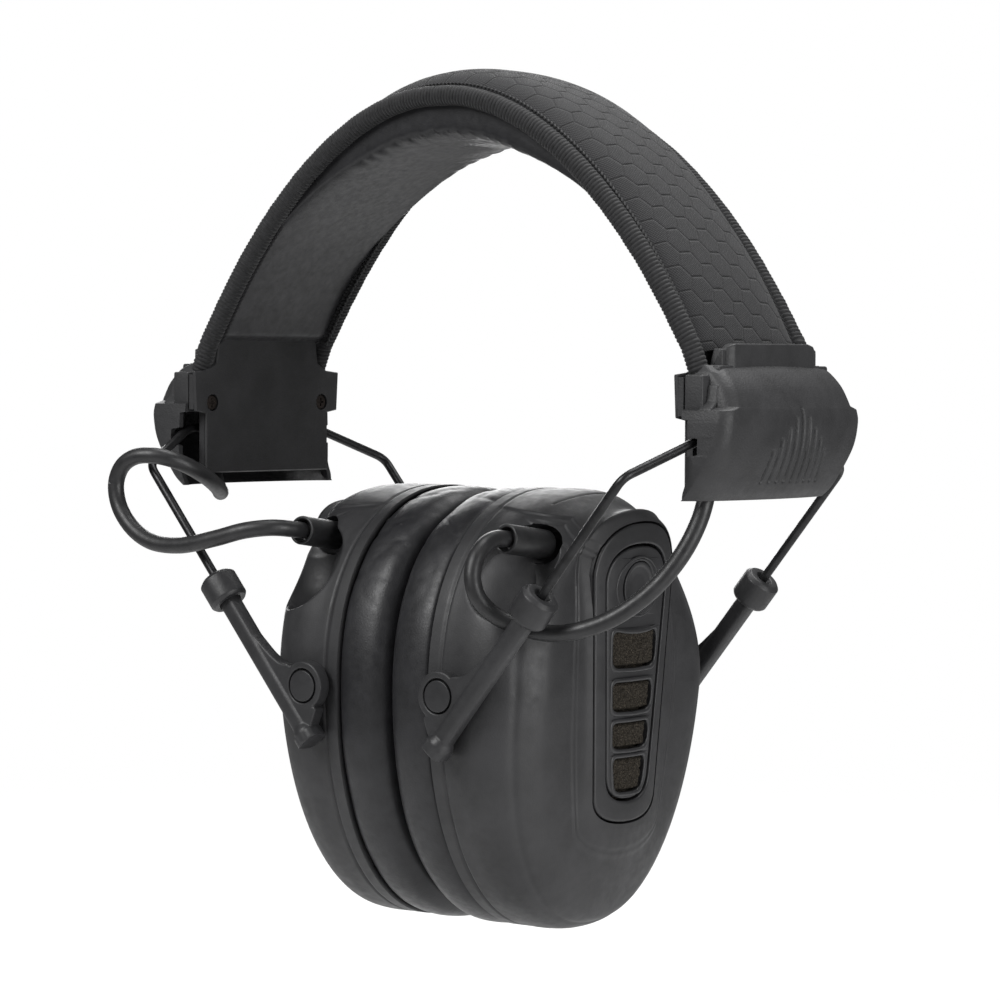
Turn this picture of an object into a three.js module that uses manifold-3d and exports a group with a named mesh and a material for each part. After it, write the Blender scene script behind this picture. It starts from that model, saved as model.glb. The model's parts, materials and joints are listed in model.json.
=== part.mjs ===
// Electronic earmuff hearing protector: a padded sprung headband, a folding wire fork at each end,
// sliding arms on the wires, and two tilting ear cups with cushions.
//
// Units are millimetres. X runs from the left cup to the right cup, -Y is the front, +Z is up.
// The origin is the underside of the crown pad, at the top of the arch.
// Every side part is designed for the right side and mirrored in X for the left one, and every
// front part is mirrored in Y for the rear one.

import * as THREE from 'three';
import { mergeVertices } from 'three/addons/utils/BufferGeometryUtils.js';
import Module from 'manifold-3d';

const wasm = await Module();
wasm.setup();

// ---------------------------------------------------------------- driving dimensions

const GAP = 0.3;

const BAND = {
  apexZ: 18.4,
  endX: 79,
  endZ: -55,
  coverHalfWidth: 19.4,
  padHalfWidth: 19.5,
  fabricEnd: 0.1,
  pipingY: 22.7,
  pipingRadius: 2.9,
  pipingEnd: 0.03,
  springHalfWidth: 14,
  springThickness: 0.6,
  springTail: 5,
  stations: 15,
};

const PLATE = {
  innerX: 73,
  thickness: 2.4,
  topThickness: 0.9,
  topZ: -46.7,
  tabTopZ: -55.2,
  tabBottomZ: -65,
  bottomZ: -80.6,
  tabHalfWidth: 27.8,
  halfWidth: 23.4,
  topHalfWidth: 18.6,
  bevel: 0.3,
};

const SCREW = {
  y: 21,
  z: -62.9,
  headRadius: 1.8,
  headDepth: 0.8,
  shaftRadius: 1.2,
  length: 6.2,
  clearance: 0.35,
};

const HOUSING = {
  innerX: PLATE.innerX + PLATE.thickness + GAP,
  wall: 2,
  topZ: -53,
  bottomZ: -85.2,
  lipTopZ: -48,
  lipX: 79.4,
  lipThickness: 2.2,
  lipHalfWidth: 17.5,
  windowX: 80.2,
  flareX: 73.4,
  flareInnerY: 26.4,
  flareOuterY: 28.4,
  crown: 2.2,
  lowerCrown: 2.2,
  cornerDrop: 3,
};

const WIRE = {
  radius: 1.1,
  barX: 78.6,
  barZ: -69.5,
  barHalfLength: 24,
  bendX: 71.7,
  bendY: 45.2,
  bendZ: -78.1,
  lean: THREE.MathUtils.degToRad(39.3),
  legLength: 53,
  bendFillet: 4,
  barFillet: 3,
};

const ARM = {
  top: 36.5,
  foot: 83.7,
  radius: 2.5,
  footRadius: 3.3,
  bore: 1.4,
  lugRadius: 5.8,
  lugHalfThickness: 1.7,
  pivotAlong: 72.2,
  pivotAcross: 6.95,
  collarTop: 34.8,
  collarLength: 7.5,
  collarRadius: 4.7,
};

const PIN = {
  shaftRadius: 2,
  headRadius: 3.7,
  headThickness: 1,
  flangeRadius: 3.2,
  flangeInnerY: 37.6,
  flangeOuterY: 39.2,
  clearance: 0.3,
};

const CUP = {
  pivotX: 20.6,
  pivotZ: -129.6,
  rimX: 14,
  faceX: 43.4,
  roundStartX: 27,
  halfWidth: 42,
  heightAbove: 47,
  heightBelow: 58.8,
  power: 2.2,
  faceInset: 26,
  endRounding: 0.36,
  lowerSlope: 0.13,
  wall: 2.4,
  points: 28,
};

const CUSHION = {
  contactX: 0.4,
  backX: 13.4,
  ringWidth: 17,
  points: 26,
};

const GROMMET = {
  base: new THREE.Vector3(31.9, -22.5, -94.9),
  end: new THREE.Vector3(31.2, -34.1, -93.4),
  radius: 3.5,
  flangeDepth: 1.6,
};

const SCOOP = {
  centre: new THREE.Vector3(31.5, -34.5, -100.5),
  radii: new THREE.Vector3(11, 11.5, 12.5),
};

const PANEL = {
  centreX: 42.6,
  centreZ: -125.8,
  tilt: THREE.MathUtils.degToRad(3.6),
  height: 71.5,
  topWidth: 29.5,
  bottomWidth: 19,
  bezelWidth: 2.2,
  bezelDepth: 2.4,
  thickness: 1.8,
  foamDepth: 2.4,
};

const BUTTON = {
  z: 20.5,
  radius: 5.9,
  thickness: 2,
  clearance: 0.35,
};

// Height of the centre above the panel's middle, height, top width and bottom width.
const WINDOWS = [
  [5.8, 9, 15.9, 15],
  [-5.6, 7.1, 14, 13],
  [-14.9, 6.3, 12.4, 11.2],
  [-24.3, 8.2, 10.4, 7.6],
];

const CLIP = {
  halfWidth: 9,
  halfHeight: 3.4,
  depthBehindBar: 2.8,
};

const BASE_PLATE = {
  frontX: CUP.rimX - 0.3,
  backX: CUP.rimX + 2,
  holeRadius: 16.5,
};

const EAR_FOAM = {
  innerX: 10.4,
  edgeGap: 0.6,
  points: 28,
};

const SPEAKER = {
  radius: 19.5,
  magnetRadius: 13,
  rimDepth: 2.6,
  depth: 5.6,
};

const MICROPHONE = {
  radius: 3,
  depth: 2.6,
};

const BOARD = {
  x: 28,
  thickness: 1.4,
  width: 34,
  height: 56,
};

const BATTERY = {
  x: 28.4,
  y: 6,
  radius: 5.2,
  halfLength: 22,
  buttonRadius: 1.9,
  buttonHeight: 1.2,
};

const CABLE = {
  radius: 2,
  sides: 8,
  steps: 44,
};

// ---------------------------------------------------------------- materials

function plastic(name, color, roughness) {
  return new THREE.MeshStandardMaterial({ name, color, roughness, metalness: 0 });
}

const MATERIALS = {
  shell: plastic('soft_touch_plastic', 0x2b2b2d, 0.6),
  housing: plastic('housing_plastic', 0x303032, 0.62),
  gloss: plastic('panel_plastic', 0x252527, 0.4),
  arm: plastic('arm_plastic', 0x2a2a2c, 0.5),
  leatherette: plastic('leatherette', 0x29292b, 0.5),
  fabric: plastic('woven_cover', 0x1c1c1e, 0.9),
  piping: plastic('ribbed_piping', 0x18181a, 0.8),
  foam: plastic('open_cell_foam', 0x3a3630, 1),
  rubber: plastic('cable_rubber', 0x242426, 0.45),
  board: plastic('circuit_board', 0x1d4a2c, 0.6),
  battery: plastic('battery_jacket', 0x6c6f73, 0.4),
  steel: new THREE.MeshStandardMaterial({
    name: 'black_spring_steel', color: 0x1a1a1b, roughness: 0.35, metalness: 0.9,
  }),
};

// ---------------------------------------------------------------- solids

function signedVolume(geometry) {
  const position = geometry.getAttribute('position');
  const index = geometry.getIndex();
  const corners = [new THREE.Vector3(), new THREE.Vector3(), new THREE.Vector3()];
  let volume = 0;
  for (let i = 0; i < index.count; i += 3) {
    corners.forEach((corner, k) => corner.fromBufferAttribute(position, index.getX(i + k)));
    volume += corners[0].dot(corners[1].clone().cross(corners[2])) / 6;
  }
  return volume;
}

// Merges shared corners and turns every face outward.
function closed(geometry) {
  const bare = geometry.clone();
  bare.deleteAttribute('normal');
  bare.deleteAttribute('uv');
  const merged = mergeVertices(bare, 1e-4);
  if (signedVolume(merged) < 0) {
    const index = merged.getIndex();
    for (let i = 0; i < index.count; i += 3) {
      const first = index.getX(i);
      index.setX(i, index.getX(i + 1));
      index.setX(i + 1, first);
    }
  }
  merged.computeVertexNormals();
  return merged;
}

function solid(geometry) {
  const ready = closed(geometry);
  return new wasm.Manifold(new wasm.Mesh({
    numProp: 3,
    vertProperties: new Float32Array(ready.getAttribute('position').array),
    triVerts: new Uint32Array(ready.getIndex().array),
  }));
}

function geometryOf(manifold) {
  const mesh = manifold.getMesh();
  const geometry = new THREE.BufferGeometry();
  geometry.setAttribute('position', new THREE.BufferAttribute(new Float32Array(mesh.vertProperties), 3));
  geometry.setIndex(new THREE.BufferAttribute(new Uint32Array(mesh.triVerts), 1));
  return geometry;
}

function cut(geometry, ...tools) {
  return geometryOf(tools.reduce((body, tool) => body.subtract(solid(tool)), solid(geometry)));
}

function join(geometry, ...others) {
  return geometryOf(others.reduce((body, other) => body.add(solid(other)), solid(geometry)));
}

// A closed skin over outlines that all have the same number of points, with a fan over each end.
function loft(rings) {
  const count = rings[0].length;
  const positions = rings.flat().flatMap((p) => [p.x, p.y, p.z]);
  const index = [];
  for (let r = 0; r + 1 < rings.length; r += 1) {
    for (let i = 0; i < count; i += 1) {
      const a = r * count + i;
      const b = r * count + ((i + 1) % count);
      index.push(a, b, a + count, b, b + count, a + count);
    }
  }
  const ends = [[rings[0], 0, true], [rings[rings.length - 1], (rings.length - 1) * count, false]];
  for (const [ring, start, first] of ends) {
    const middle = ring.reduce((sum, p) => sum.add(p), new THREE.Vector3()).divideScalar(count);
    const centre = positions.length / 3;
    positions.push(middle.x, middle.y, middle.z);
    for (let i = 0; i < count; i += 1) {
      const a = start + i;
      const b = start + ((i + 1) % count);
      index.push(...(first ? [b, a, centre] : [a, b, centre]));
    }
  }
  return skin(positions, index);
}

// A ring-shaped solid: sections that follow each other round and meet the first one again.
function loftLoop(sections) {
  const count = sections[0].length;
  const positions = sections.flat().flatMap((p) => [p.x, p.y, p.z]);
  const index = [];
  for (let s = 0; s < sections.length; s += 1) {
    const here = s * count;
    const next = ((s + 1) % sections.length) * count;
    for (let i = 0; i < count; i += 1) {
      const j = (i + 1) % count;
      index.push(here + i, here + j, next + i, here + j, next + j, next + i);
    }
  }
  return skin(positions, index);
}

function skin(positions, index) {
  const geometry = new THREE.BufferGeometry();
  geometry.setAttribute('position', new THREE.Float32BufferAttribute(positions, 3));
  geometry.setIndex(index);
  return geometry;
}

function box(low, high) {
  const size = high.map((value, i) => value - low[i]);
  const geometry = new THREE.BoxGeometry(...size);
  return geometry.translate(...low.map((value, i) => value + size[i] / 2));
}

// A bar of round section between two points.
function rod(from, to, radius, sides = 16) {
  const axis = to.clone().sub(from);
  const geometry = new THREE.CylinderGeometry(radius, radius, axis.length(), sides);
  const up = new THREE.Vector3(0, 1, 0);
  geometry.applyQuaternion(new THREE.Quaternion().setFromUnitVectors(up, axis.clone().normalize()));
  return geometry.translate(...from.clone().lerp(to, 0.5).toArray());
}

// An outline in the X-Z plane, given as [x, z] corners, made solid between two heights in Y.
function plateXZ(corners, lowY, highY) {
  const shape = new THREE.Shape(corners.map(([x, z]) => new THREE.Vector2(x, z)));
  const geometry = new THREE.ExtrudeGeometry(shape, { depth: highY - lowY, bevelEnabled: false });
  return geometry.rotateX(Math.PI / 2).translate(0, highY, 0);
}

// A shape in the Y-Z plane made solid from x = 0 towards +X.
function plateYZ(shape, depth, bevel = 0) {
  const geometry = new THREE.ExtrudeGeometry(shape, {
    depth: depth - 2 * bevel,
    bevelEnabled: bevel > 0,
    bevelThickness: bevel,
    bevelSize: bevel,
    bevelOffset: -bevel,
    bevelSegments: 1,
    curveSegments: 4,
  });
  const axes = new THREE.Matrix4().makeBasis(
    new THREE.Vector3(0, 1, 0), new THREE.Vector3(0, 0, 1), new THREE.Vector3(1, 0, 0),
  );
  return geometry.translate(0, 0, bevel).applyMatrix4(axes);
}

// A profile of [radius, along] corners turned about an axis that runs along +Y.
function turned(corners, sides) {
  return new THREE.LatheGeometry(corners.map(([r, y]) => new THREE.Vector2(r, y)), sides);
}

function tube(path, radius, steps, sides) {
  const section = new THREE.Shape();
  for (let i = 0; i < sides; i += 1) {
    const angle = (2 * Math.PI * i) / sides;
    const point = [radius * Math.cos(angle), radius * Math.sin(angle)];
    if (i === 0) section.moveTo(...point);
    else section.lineTo(...point);
  }
  section.closePath();
  return new THREE.ExtrudeGeometry(section, { steps, extrudePath: path, bevelEnabled: false });
}

// A path along straight runs, with each inner corner rounded off by its own tangent length.
function filletedPath(corners, tangents) {
  const path = new THREE.CurvePath();
  let from = corners[0];
  for (let i = 1; i + 1 < corners.length; i += 1) {
    const back = corners[i - 1].clone().sub(corners[i]).setLength(tangents[i - 1]).add(corners[i]);
    const on = corners[i + 1].clone().sub(corners[i]).setLength(tangents[i - 1]).add(corners[i]);
    path.add(new THREE.LineCurve3(from, back));
    path.add(new THREE.QuadraticBezierCurve3(back, corners[i], on));
    from = on;
  }
  path.add(new THREE.LineCurve3(from, corners[corners.length - 1]));
  return path;
}

// ---------------------------------------------------------------- scene building

const group = new THREE.Group();
const SIDES = [{ name: 'right', x: 1 }, { name: 'left', x: -1 }];
const ENDS = [{ name: 'front', y: 1 }, { name: 'rear', y: -1 }];

function addMesh(parent, name, geometry, material, mirrorX = 1, mirrorY = 1) {
  const own = geometry.clone().applyMatrix4(new THREE.Matrix4().makeScale(mirrorX, mirrorY, 1));
  const mesh = new THREE.Mesh(closed(own), material);
  mesh.name = name;
  parent.add(mesh);
  return mesh;
}

function addGroup(parent, x, y, z, turnY = 0) {
  const child = new THREE.Group();
  child.position.set(x, y, z);
  child.rotation.y = turnY;
  parent.add(child);
  return child;
}

// ---------------------------------------------------------------- headband

// Outer line of the band from its right end to the apex, in the X-Z plane.
const bandLine = new THREE.CubicBezierCurve(
  new THREE.Vector2(BAND.endX, BAND.endZ),
  new THREE.Vector2(67, -22),
  new THREE.Vector2(36, BAND.apexZ),
  new THREE.Vector2(0, BAND.apexZ),
);

// Share of the way from an end (0) to the apex (1), eased so that the band thickens early.
const swell = (u) => Math.max(0, (u - 0.08) / 0.92) ** 0.7;
const coverDepth = (u) => 0.6 + 3.4 * swell(u);
const pipingDepth = (u) => 1.2 + 6 * swell(u);
const padDepth = (u) => 4.6 + 13.8 * THREE.MathUtils.smoothstep(u * 1.15, 0, 1);

// The point of the band at u, a given depth inside its outer line; half is +1 right, -1 left.
function bandPoint(u, depth, half) {
  const point = bandLine.getPointAt(u);
  const tangent = bandLine.getTangentAt(u);
  return [half * (point.x - tangent.y * depth), point.y + tangent.x * depth];
}

// Stations from the right end over the apex to the left end, as [u, half].
function bandStations(start) {
  const list = [];
  for (let i = 0; i < BAND.stations; i += 1) {
    list.push([start + ((1 - start) * i) / BAND.stations, 1]);
  }
  return [...list, [1, 1], ...list.reverse().map(([u]) => [u, -1])];
}

function sweptBand(sectionAt, start) {
  return loft(bandStations(start).map(([u, half]) => sectionAt(u).map(([depth, y]) => {
    const [x, z] = bandPoint(u, depth, half);
    return new THREE.Vector3(x, y, z);
  })));
}

function coverSection(u) {
  const w = BAND.coverHalfWidth;
  const bottom = coverDepth(u);
  const drop = Math.min(bottom - 0.5, pipingDepth(u) * 0.45);
  const top = [-1, -0.8, -0.5, 0, 0.5, 0.8, 1].map((f) => [drop * Math.abs(f) ** 2.4, f * w]);
  return [...top, [bottom, w], [bottom, -w]];
}

function padSection(u) {
  const w = BAND.padHalfWidth;
  const top = coverDepth(u) + BAND.springThickness + 2 * GAP;
  const depth = padDepth(u);
  const belly = depth - top;
  const half = [[0.45, 1], [0.75, 0.93], [0.93, 0.72], [1, 0.35]];
  const lower = [...half, ...half.map(([d, f]) => [d, -f]).reverse()];
  return [[top, -w], [top, w], ...lower.map(([d, f]) => [top + belly * d, f * w])];
}

function springGeometry() {
  const top = (u) => coverDepth(u) + GAP;
  const bottom = (u) => top(u) + BAND.springThickness;
  const line = (depthAt) => {
    const points = bandStations(0).map(([u, half]) => bandPoint(u, depthAt(u), half));
    const tangent = bandLine.getTangentAt(0);
    const [x, z] = points[0];
    const tail = [x - tangent.x * BAND.springTail, z - tangent.y * BAND.springTail];
    return [tail, ...points, [-tail[0], tail[1]]];
  };
  const outline = [...line(top), ...line(bottom).reverse()];
  return plateXZ(outline, -BAND.springHalfWidth, BAND.springHalfWidth);
}

function pipingGeometry() {
  const points = bandStations(BAND.pipingEnd).map(([u, half]) => {
    const [x, z] = bandPoint(u, pipingDepth(u), half);
    return new THREE.Vector3(x, -BAND.pipingY, z);
  });
  return tube(new THREE.CatmullRomCurve3(points), BAND.pipingRadius, 36, 8);
}

function addHeadband() {
  addMesh(group, 'band_cover', sweptBand(coverSection, BAND.fabricEnd), MATERIALS.fabric);
  addMesh(group, 'crown_pad', sweptBand(padSection, BAND.fabricEnd), MATERIALS.leatherette);
  addMesh(group, 'band_spring', springGeometry(), MATERIALS.steel);
  for (const end of ENDS) {
    addMesh(group, `${end.name}_piping`, pipingGeometry(), MATERIALS.piping, 1, end.y);
  }
}

// ---------------------------------------------------------------- yoke housings

function plateOutline() {
  const right = [
    [PLATE.topHalfWidth, PLATE.topZ],
    [PLATE.topHalfWidth + 1, PLATE.tabTopZ + 2.4],
    [PLATE.topHalfWidth + 4.4, PLATE.tabTopZ + 0.5],
    [PLATE.tabHalfWidth, PLATE.tabTopZ],
    [PLATE.tabHalfWidth - 0.6, PLATE.tabBottomZ],
    [PLATE.halfWidth, PLATE.tabBottomZ - 0.6],
    [PLATE.halfWidth, PLATE.bottomZ],
  ];
  const left = right.map(([y, z]) => [-y, z]).reverse();
  return new THREE.Shape([...right, ...left].map(([y, z]) => new THREE.Vector2(y, z)));
}

function screwAxis(y, fromX, toX) {
  return [new THREE.Vector3(fromX, y, SCREW.z), new THREE.Vector3(toX, y, SCREW.z)];
}

function innerPlateGeometry() {
  const face = plateYZ(plateOutline(), PLATE.topThickness, PLATE.bevel).translate(PLATE.innerX, 0, 0);
  const innerX = PLATE.innerX + PLATE.topThickness - 0.1;
  const outerX = PLATE.innerX + PLATE.thickness;
  const lower = box(
    [innerX, -PLATE.halfWidth, PLATE.bottomZ + 1],
    [outerX, PLATE.halfWidth, PLATE.tabTopZ - 0.6],
  );
  const tabs = box(
    [innerX, -PLATE.tabHalfWidth + 0.6, PLATE.tabBottomZ + 0.4],
    [outerX, PLATE.tabHalfWidth - 0.6, PLATE.tabTopZ - 0.6],
  );
  const blank = join(face, lower, tabs);
  const tools = [-SCREW.y, SCREW.y].flatMap((y) => {
    const seat = PLATE.innerX + PLATE.bevel + SCREW.headDepth + GAP;
    const head = SCREW.headRadius + SCREW.clearance;
    const shaft = SCREW.shaftRadius + SCREW.clearance;
    return [
      rod(...screwAxis(y, PLATE.innerX - 1, seat), head, 14),
      rod(...screwAxis(y, PLATE.innerX - 1, HOUSING.innerX), shaft, 12),
    ];
  });
  return cut(blank, ...tools);
}

// Half width and outermost X of the housing's shield at each height.
const SHIELD = [
  [HOUSING.bottomZ, 28.4, 83.2],
  [-82.5, 28.8, 85.2],
  [-78, 29, 87.3],
  [-72, 29, 89.4],
  [-66, 28.8, 90],
  [-63.2, 28.4, 89.6],
  [-62.4, 25.6, 89.3],
  [-58, 25, 87.2],
  [-54.6, 24.2, 84.2],
  [HOUSING.topZ, 23, 81.8],
];

function shieldRing(z, halfWidth, outerX, innerX) {
  const across = [-1, -0.95, -0.8, -0.4, 0, 0.4, 0.8, 0.95, 1];
  const lowness = Math.max(0, (PLATE.tabBottomZ - z) / (PLATE.tabBottomZ - HOUSING.bottomZ));
  const edge = across.map((f) => {
    const crown = (HOUSING.crown + HOUSING.lowerCrown * lowness) * f * f;
    const corner = HOUSING.cornerDrop * Math.max(0, (Math.abs(f) - 0.85) / 0.15) ** 2;
    return new THREE.Vector3(outerX - crown - corner, f * halfWidth, z);
  });
  return [new THREE.Vector3(innerX, -halfWidth, z), ...edge, new THREE.Vector3(innerX, halfWidth, z)];
}

function yokeCoverGeometry() {
  const outer = SHIELD.map(([z, w, x]) => shieldRing(z, w, x, HOUSING.innerX));
  const hollow = [[HOUSING.bottomZ - 3, 28.4, 81.6], ...SHIELD.slice(0, 9)].map(([z, w, x]) => {
    return shieldRing(z, w - HOUSING.wall, x - HOUSING.wall, HOUSING.innerX - 5);
  });
  const window = box(
    [HOUSING.innerX - 5, -40, HOUSING.bottomZ - 5],
    [HOUSING.windowX, 40, PLATE.tabBottomZ - 0.5],
  );
  const slot = box(
    [HOUSING.innerX - 5, -HOUSING.flareInnerY, PLATE.tabTopZ + 0.1],
    [HOUSING.lipX - 0.2, HOUSING.flareInnerY, HOUSING.topZ + 3],
  );
  const tab = box(
    [HOUSING.innerX, SCREW.y - 1.8, PLATE.tabBottomZ],
    [HOUSING.windowX, PLATE.tabHalfWidth - 0.4, PLATE.tabTopZ],
  );
  const flare = plateXZ([
    [HOUSING.windowX + 0.8, -74.5],
    [HOUSING.windowX - 1.2, -77],
    [HOUSING.flareX + 1.4, -81.8],
    [HOUSING.flareX, -84],
    [HOUSING.flareX + 0.2, HOUSING.bottomZ],
    [HOUSING.flareX + 3.2, HOUSING.bottomZ],
    [HOUSING.windowX + 0.4, -79],
  ], HOUSING.flareInnerY, HOUSING.flareOuterY);
  const lip = box(
    [HOUSING.lipX, -HOUSING.lipHalfWidth, HOUSING.topZ - 1],
    [HOUSING.lipX + HOUSING.lipThickness, HOUSING.lipHalfWidth, HOUSING.lipTopZ],
  );
  const mirrored = (geometry) => closed(geometry.clone().scale(1, -1, 1));
  const shell = cut(loft(outer), loft(hollow), window, slot);
  const holes = [-SCREW.y, SCREW.y].map((y) => {
    return rod(...screwAxis(y, HOUSING.innerX - 1, HOUSING.windowX - 0.4), SCREW.shaftRadius + 0.3, 12);
  });
  return cut(join(shell, tab, mirrored(tab), flare, mirrored(flare), lip), ...holes);
}

function screwGeometry() {
  const head = SCREW.headDepth;
  const body = turned([
    [0, 0], [SCREW.headRadius, 0], [SCREW.headRadius, head], [SCREW.shaftRadius, head],
    [SCREW.shaftRadius, SCREW.length - 1], [0, SCREW.length],
  ], 12);
  const arm = [[-1.1, -1, -0.25], [1.1, 0.45, 0.25]];
  const cross = [box(...arm), box(...arm).rotateY(Math.PI / 2)];
  return cut(body, ...cross).rotateZ(-Math.PI / 2);
}

function wireClipGeometry() {
  const block = box(
    [HOUSING.innerX, -CLIP.halfWidth, WIRE.barZ - CLIP.halfHeight],
    [WIRE.barX + CLIP.depthBehindBar, CLIP.halfWidth, WIRE.barZ + CLIP.halfHeight],
  );
  const reach = CLIP.halfWidth + 2;
  const ends = [-reach, reach].map((y) => new THREE.Vector3(WIRE.barX, y, WIRE.barZ));
  return cut(block, rod(...ends, WIRE.radius + GAP, 12));
}

function addHousing(side) {
  const add = (name, geometry, material) => {
    return addMesh(group, `${side.name}_${name}`, geometry, material, side.x);
  };
  add('inner_plate', innerPlateGeometry(), MATERIALS.housing);
  add('yoke_cover', yokeCoverGeometry(), MATERIALS.housing);
  add('wire_clip', wireClipGeometry(), MATERIALS.arm);
  for (const end of ENDS) {
    const screw = add(`${end.name}_screw`, screwGeometry(), MATERIALS.steel);
    const seat = PLATE.innerX + PLATE.bevel;
    screw.position.set(side.x * seat, -end.y * SCREW.y, SCREW.z);
  }
}

// ---------------------------------------------------------------- wire fork, arms, pivots

function forkGeometry() {
  const down = new THREE.Vector3(-Math.sin(WIRE.lean), 0, -Math.cos(WIRE.lean));
  const half = (y) => {
    const bar = new THREE.Vector3(WIRE.barX, y * WIRE.barHalfLength, WIRE.barZ);
    const bend = new THREE.Vector3(WIRE.bendX, y * WIRE.bendY, WIRE.bendZ);
    return [bend.clone().addScaledVector(down, WIRE.legLength), bend, bar];
  };
  const corners = [...half(-1), ...half(1).reverse()];
  const tangents = [WIRE.bendFillet, WIRE.barFillet, WIRE.barFillet, WIRE.bendFillet];
  return tube(filletedPath(corners, tangents), WIRE.radius, 42, 6);
}

// In an arm's own frame -Z runs down the leg from the wire's bend, and +X points away from the pivot.
function armGeometry() {
  const at = (x, y, along) => new THREE.Vector3(x, y, -along);
  const barrel = rod(at(0, 0, ARM.top), at(0, 0, ARM.foot), ARM.radius, 12);
  const foot = rod(at(0, 0, ARM.foot - 2), at(0, 0, ARM.foot), ARM.footRadius, 12);
  const t = ARM.lugHalfThickness;
  const onPivot = (y) => at(-ARM.pivotAcross, y, ARM.pivotAlong);
  const lug = rod(onPivot(-t), onPivot(t), ARM.lugRadius, 18);
  const web = plateXZ([
    [0, -ARM.top - 16],
    [-2.4, -ARM.top - 17],
    [-3.4, -ARM.pivotAlong + 12],
    [-5.2, -ARM.pivotAlong + 7.5],
    [-8.6, -ARM.pivotAlong + 5.4],
    [-9, -ARM.pivotAlong - 5.3],
    [-4.6, -ARM.pivotAlong - 7.6],
    [-2.2, -ARM.foot + 2.6],
    [0, -ARM.foot + 2.6],
  ], -t, t);
  const bore = rod(at(0, 0, ARM.top - 1), at(0, 0, ARM.foot - 1), ARM.bore, 8);
  const pinHole = rod(onPivot(-5), onPivot(5), PIN.shaftRadius + PIN.clearance, 10);
  const recess = rod(onPivot(-5), onPivot(-t + 1.3), PIN.headRadius + PIN.clearance, 14);
  return cut(join(barrel, foot, lug, web), bore, pinHole, recess);
}

function collarGeometry() {
  const r = ARM.collarRadius;
  const inner = ARM.radius + GAP;
  const cap = ARM.top - ARM.collarTop - GAP;
  const length = ARM.collarLength;
  return turned([
    [ARM.bore, 0], [r - 0.9, 0], [r, 0.9], [r, length - 0.8], [r - 0.5, length],
    [inner, length], [inner, cap], [ARM.bore, cap], [ARM.bore, 0],
  ], 12).rotateX(-Math.PI / 2);
}

// The pin runs along -Y, from its flange inside the cup wall to its head in the arm's recess.
function pinGeometry() {
  const headOut = WIRE.bendY + ARM.lugHalfThickness + 0.1;
  const headIn = headOut - PIN.headThickness;
  return turned([
    [0, PIN.flangeInnerY], [PIN.flangeRadius, PIN.flangeInnerY], [PIN.flangeRadius, PIN.flangeOuterY],
    [PIN.shaftRadius, PIN.flangeOuterY], [PIN.shaftRadius, headIn], [PIN.headRadius, headIn],
    [PIN.headRadius, headOut - 0.2], [PIN.headRadius - 0.3, headOut], [0, headOut],
  ], 12).rotateX(Math.PI);
}

function addFork(side) {
  addMesh(group, `${side.name}_fork_wire`, forkGeometry(), MATERIALS.steel, side.x);
  for (const end of ENDS) {
    const prefix = `${side.name}_${end.name}`;
    const leg = addGroup(group, side.x * WIRE.bendX, -end.y * WIRE.bendY, WIRE.bendZ, side.x * WIRE.lean);
    addMesh(leg, `${prefix}_arm`, armGeometry(), MATERIALS.arm, side.x, end.y);
    const collar = addMesh(leg, `${prefix}_collar`, collarGeometry(), MATERIALS.arm, side.x, end.y);
    collar.position.z = -ARM.collarTop;
    const pin = addMesh(group, `${prefix}_pivot_pin`, pinGeometry(), MATERIALS.gloss, side.x, end.y);
    pin.position.set(side.x * CUP.pivotX, 0, CUP.pivotZ);
  }
}

// ---------------------------------------------------------------- ear cups

// The cup's outline at x, drawn in from its full size by an inset, as points round the X axis.
function cupRing(x, inset, count = CUP.points) {
  const points = [];
  const power = 2 / CUP.power;
  const above = CUP.heightAbove - inset * CUP.endRounding;
  const below = CUP.heightBelow - inset * CUP.endRounding;
  for (let i = 0; i < count; i += 1) {
    const angle = (2 * Math.PI * i) / count;
    const c = Math.cos(angle);
    const s = Math.sin(angle);
    const y = (CUP.halfWidth - inset) * Math.sign(c) * Math.abs(c) ** power;
    const z = (s >= 0 ? above : below) * Math.sign(s) * Math.abs(s) ** power;
    const slope = (CUP.lowerSlope * Math.max(0, -z) * (x - CUP.rimX)) / (CUP.faceX - CUP.rimX);
    points.push(new THREE.Vector3(x - slope, y, CUP.pivotZ + z));
  }
  return points;
}

// An outline parallel to the rim, the same distance in all the way round.
function rimRing(x, inset, count) {
  return cupRing(CUP.rimX, 0, count).map((p) => {
    const z = p.z - CUP.pivotZ;
    const reach = z >= 0 ? CUP.heightAbove : CUP.heightBelow;
    return new THREE.Vector3(x, p.y * (1 - inset / CUP.halfWidth), CUP.pivotZ + z * (1 - inset / reach));
  });
}

// From the rim to the outer face, as [x, inset], with the wall's thickness taken off for the inside.
function cupRings(wall) {
  const rings = [cupRing(CUP.rimX, wall), cupRing(CUP.roundStartX, wall)];
  for (const degrees of [20, 42, 66, 90]) {
    const angle = THREE.MathUtils.degToRad(degrees);
    const x = CUP.roundStartX + (CUP.faceX - CUP.roundStartX - wall) * Math.sin(angle);
    rings.push(cupRing(x, wall + CUP.faceInset * (1 - Math.cos(angle)) * (1 - wall / 30)));
  }
  return rings;
}

function ellipsoid(centre, radii) {
  const ball = new THREE.SphereGeometry(1, 12, 8);
  return ball.scale(...radii.toArray()).translate(...centre.toArray());
}

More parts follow.
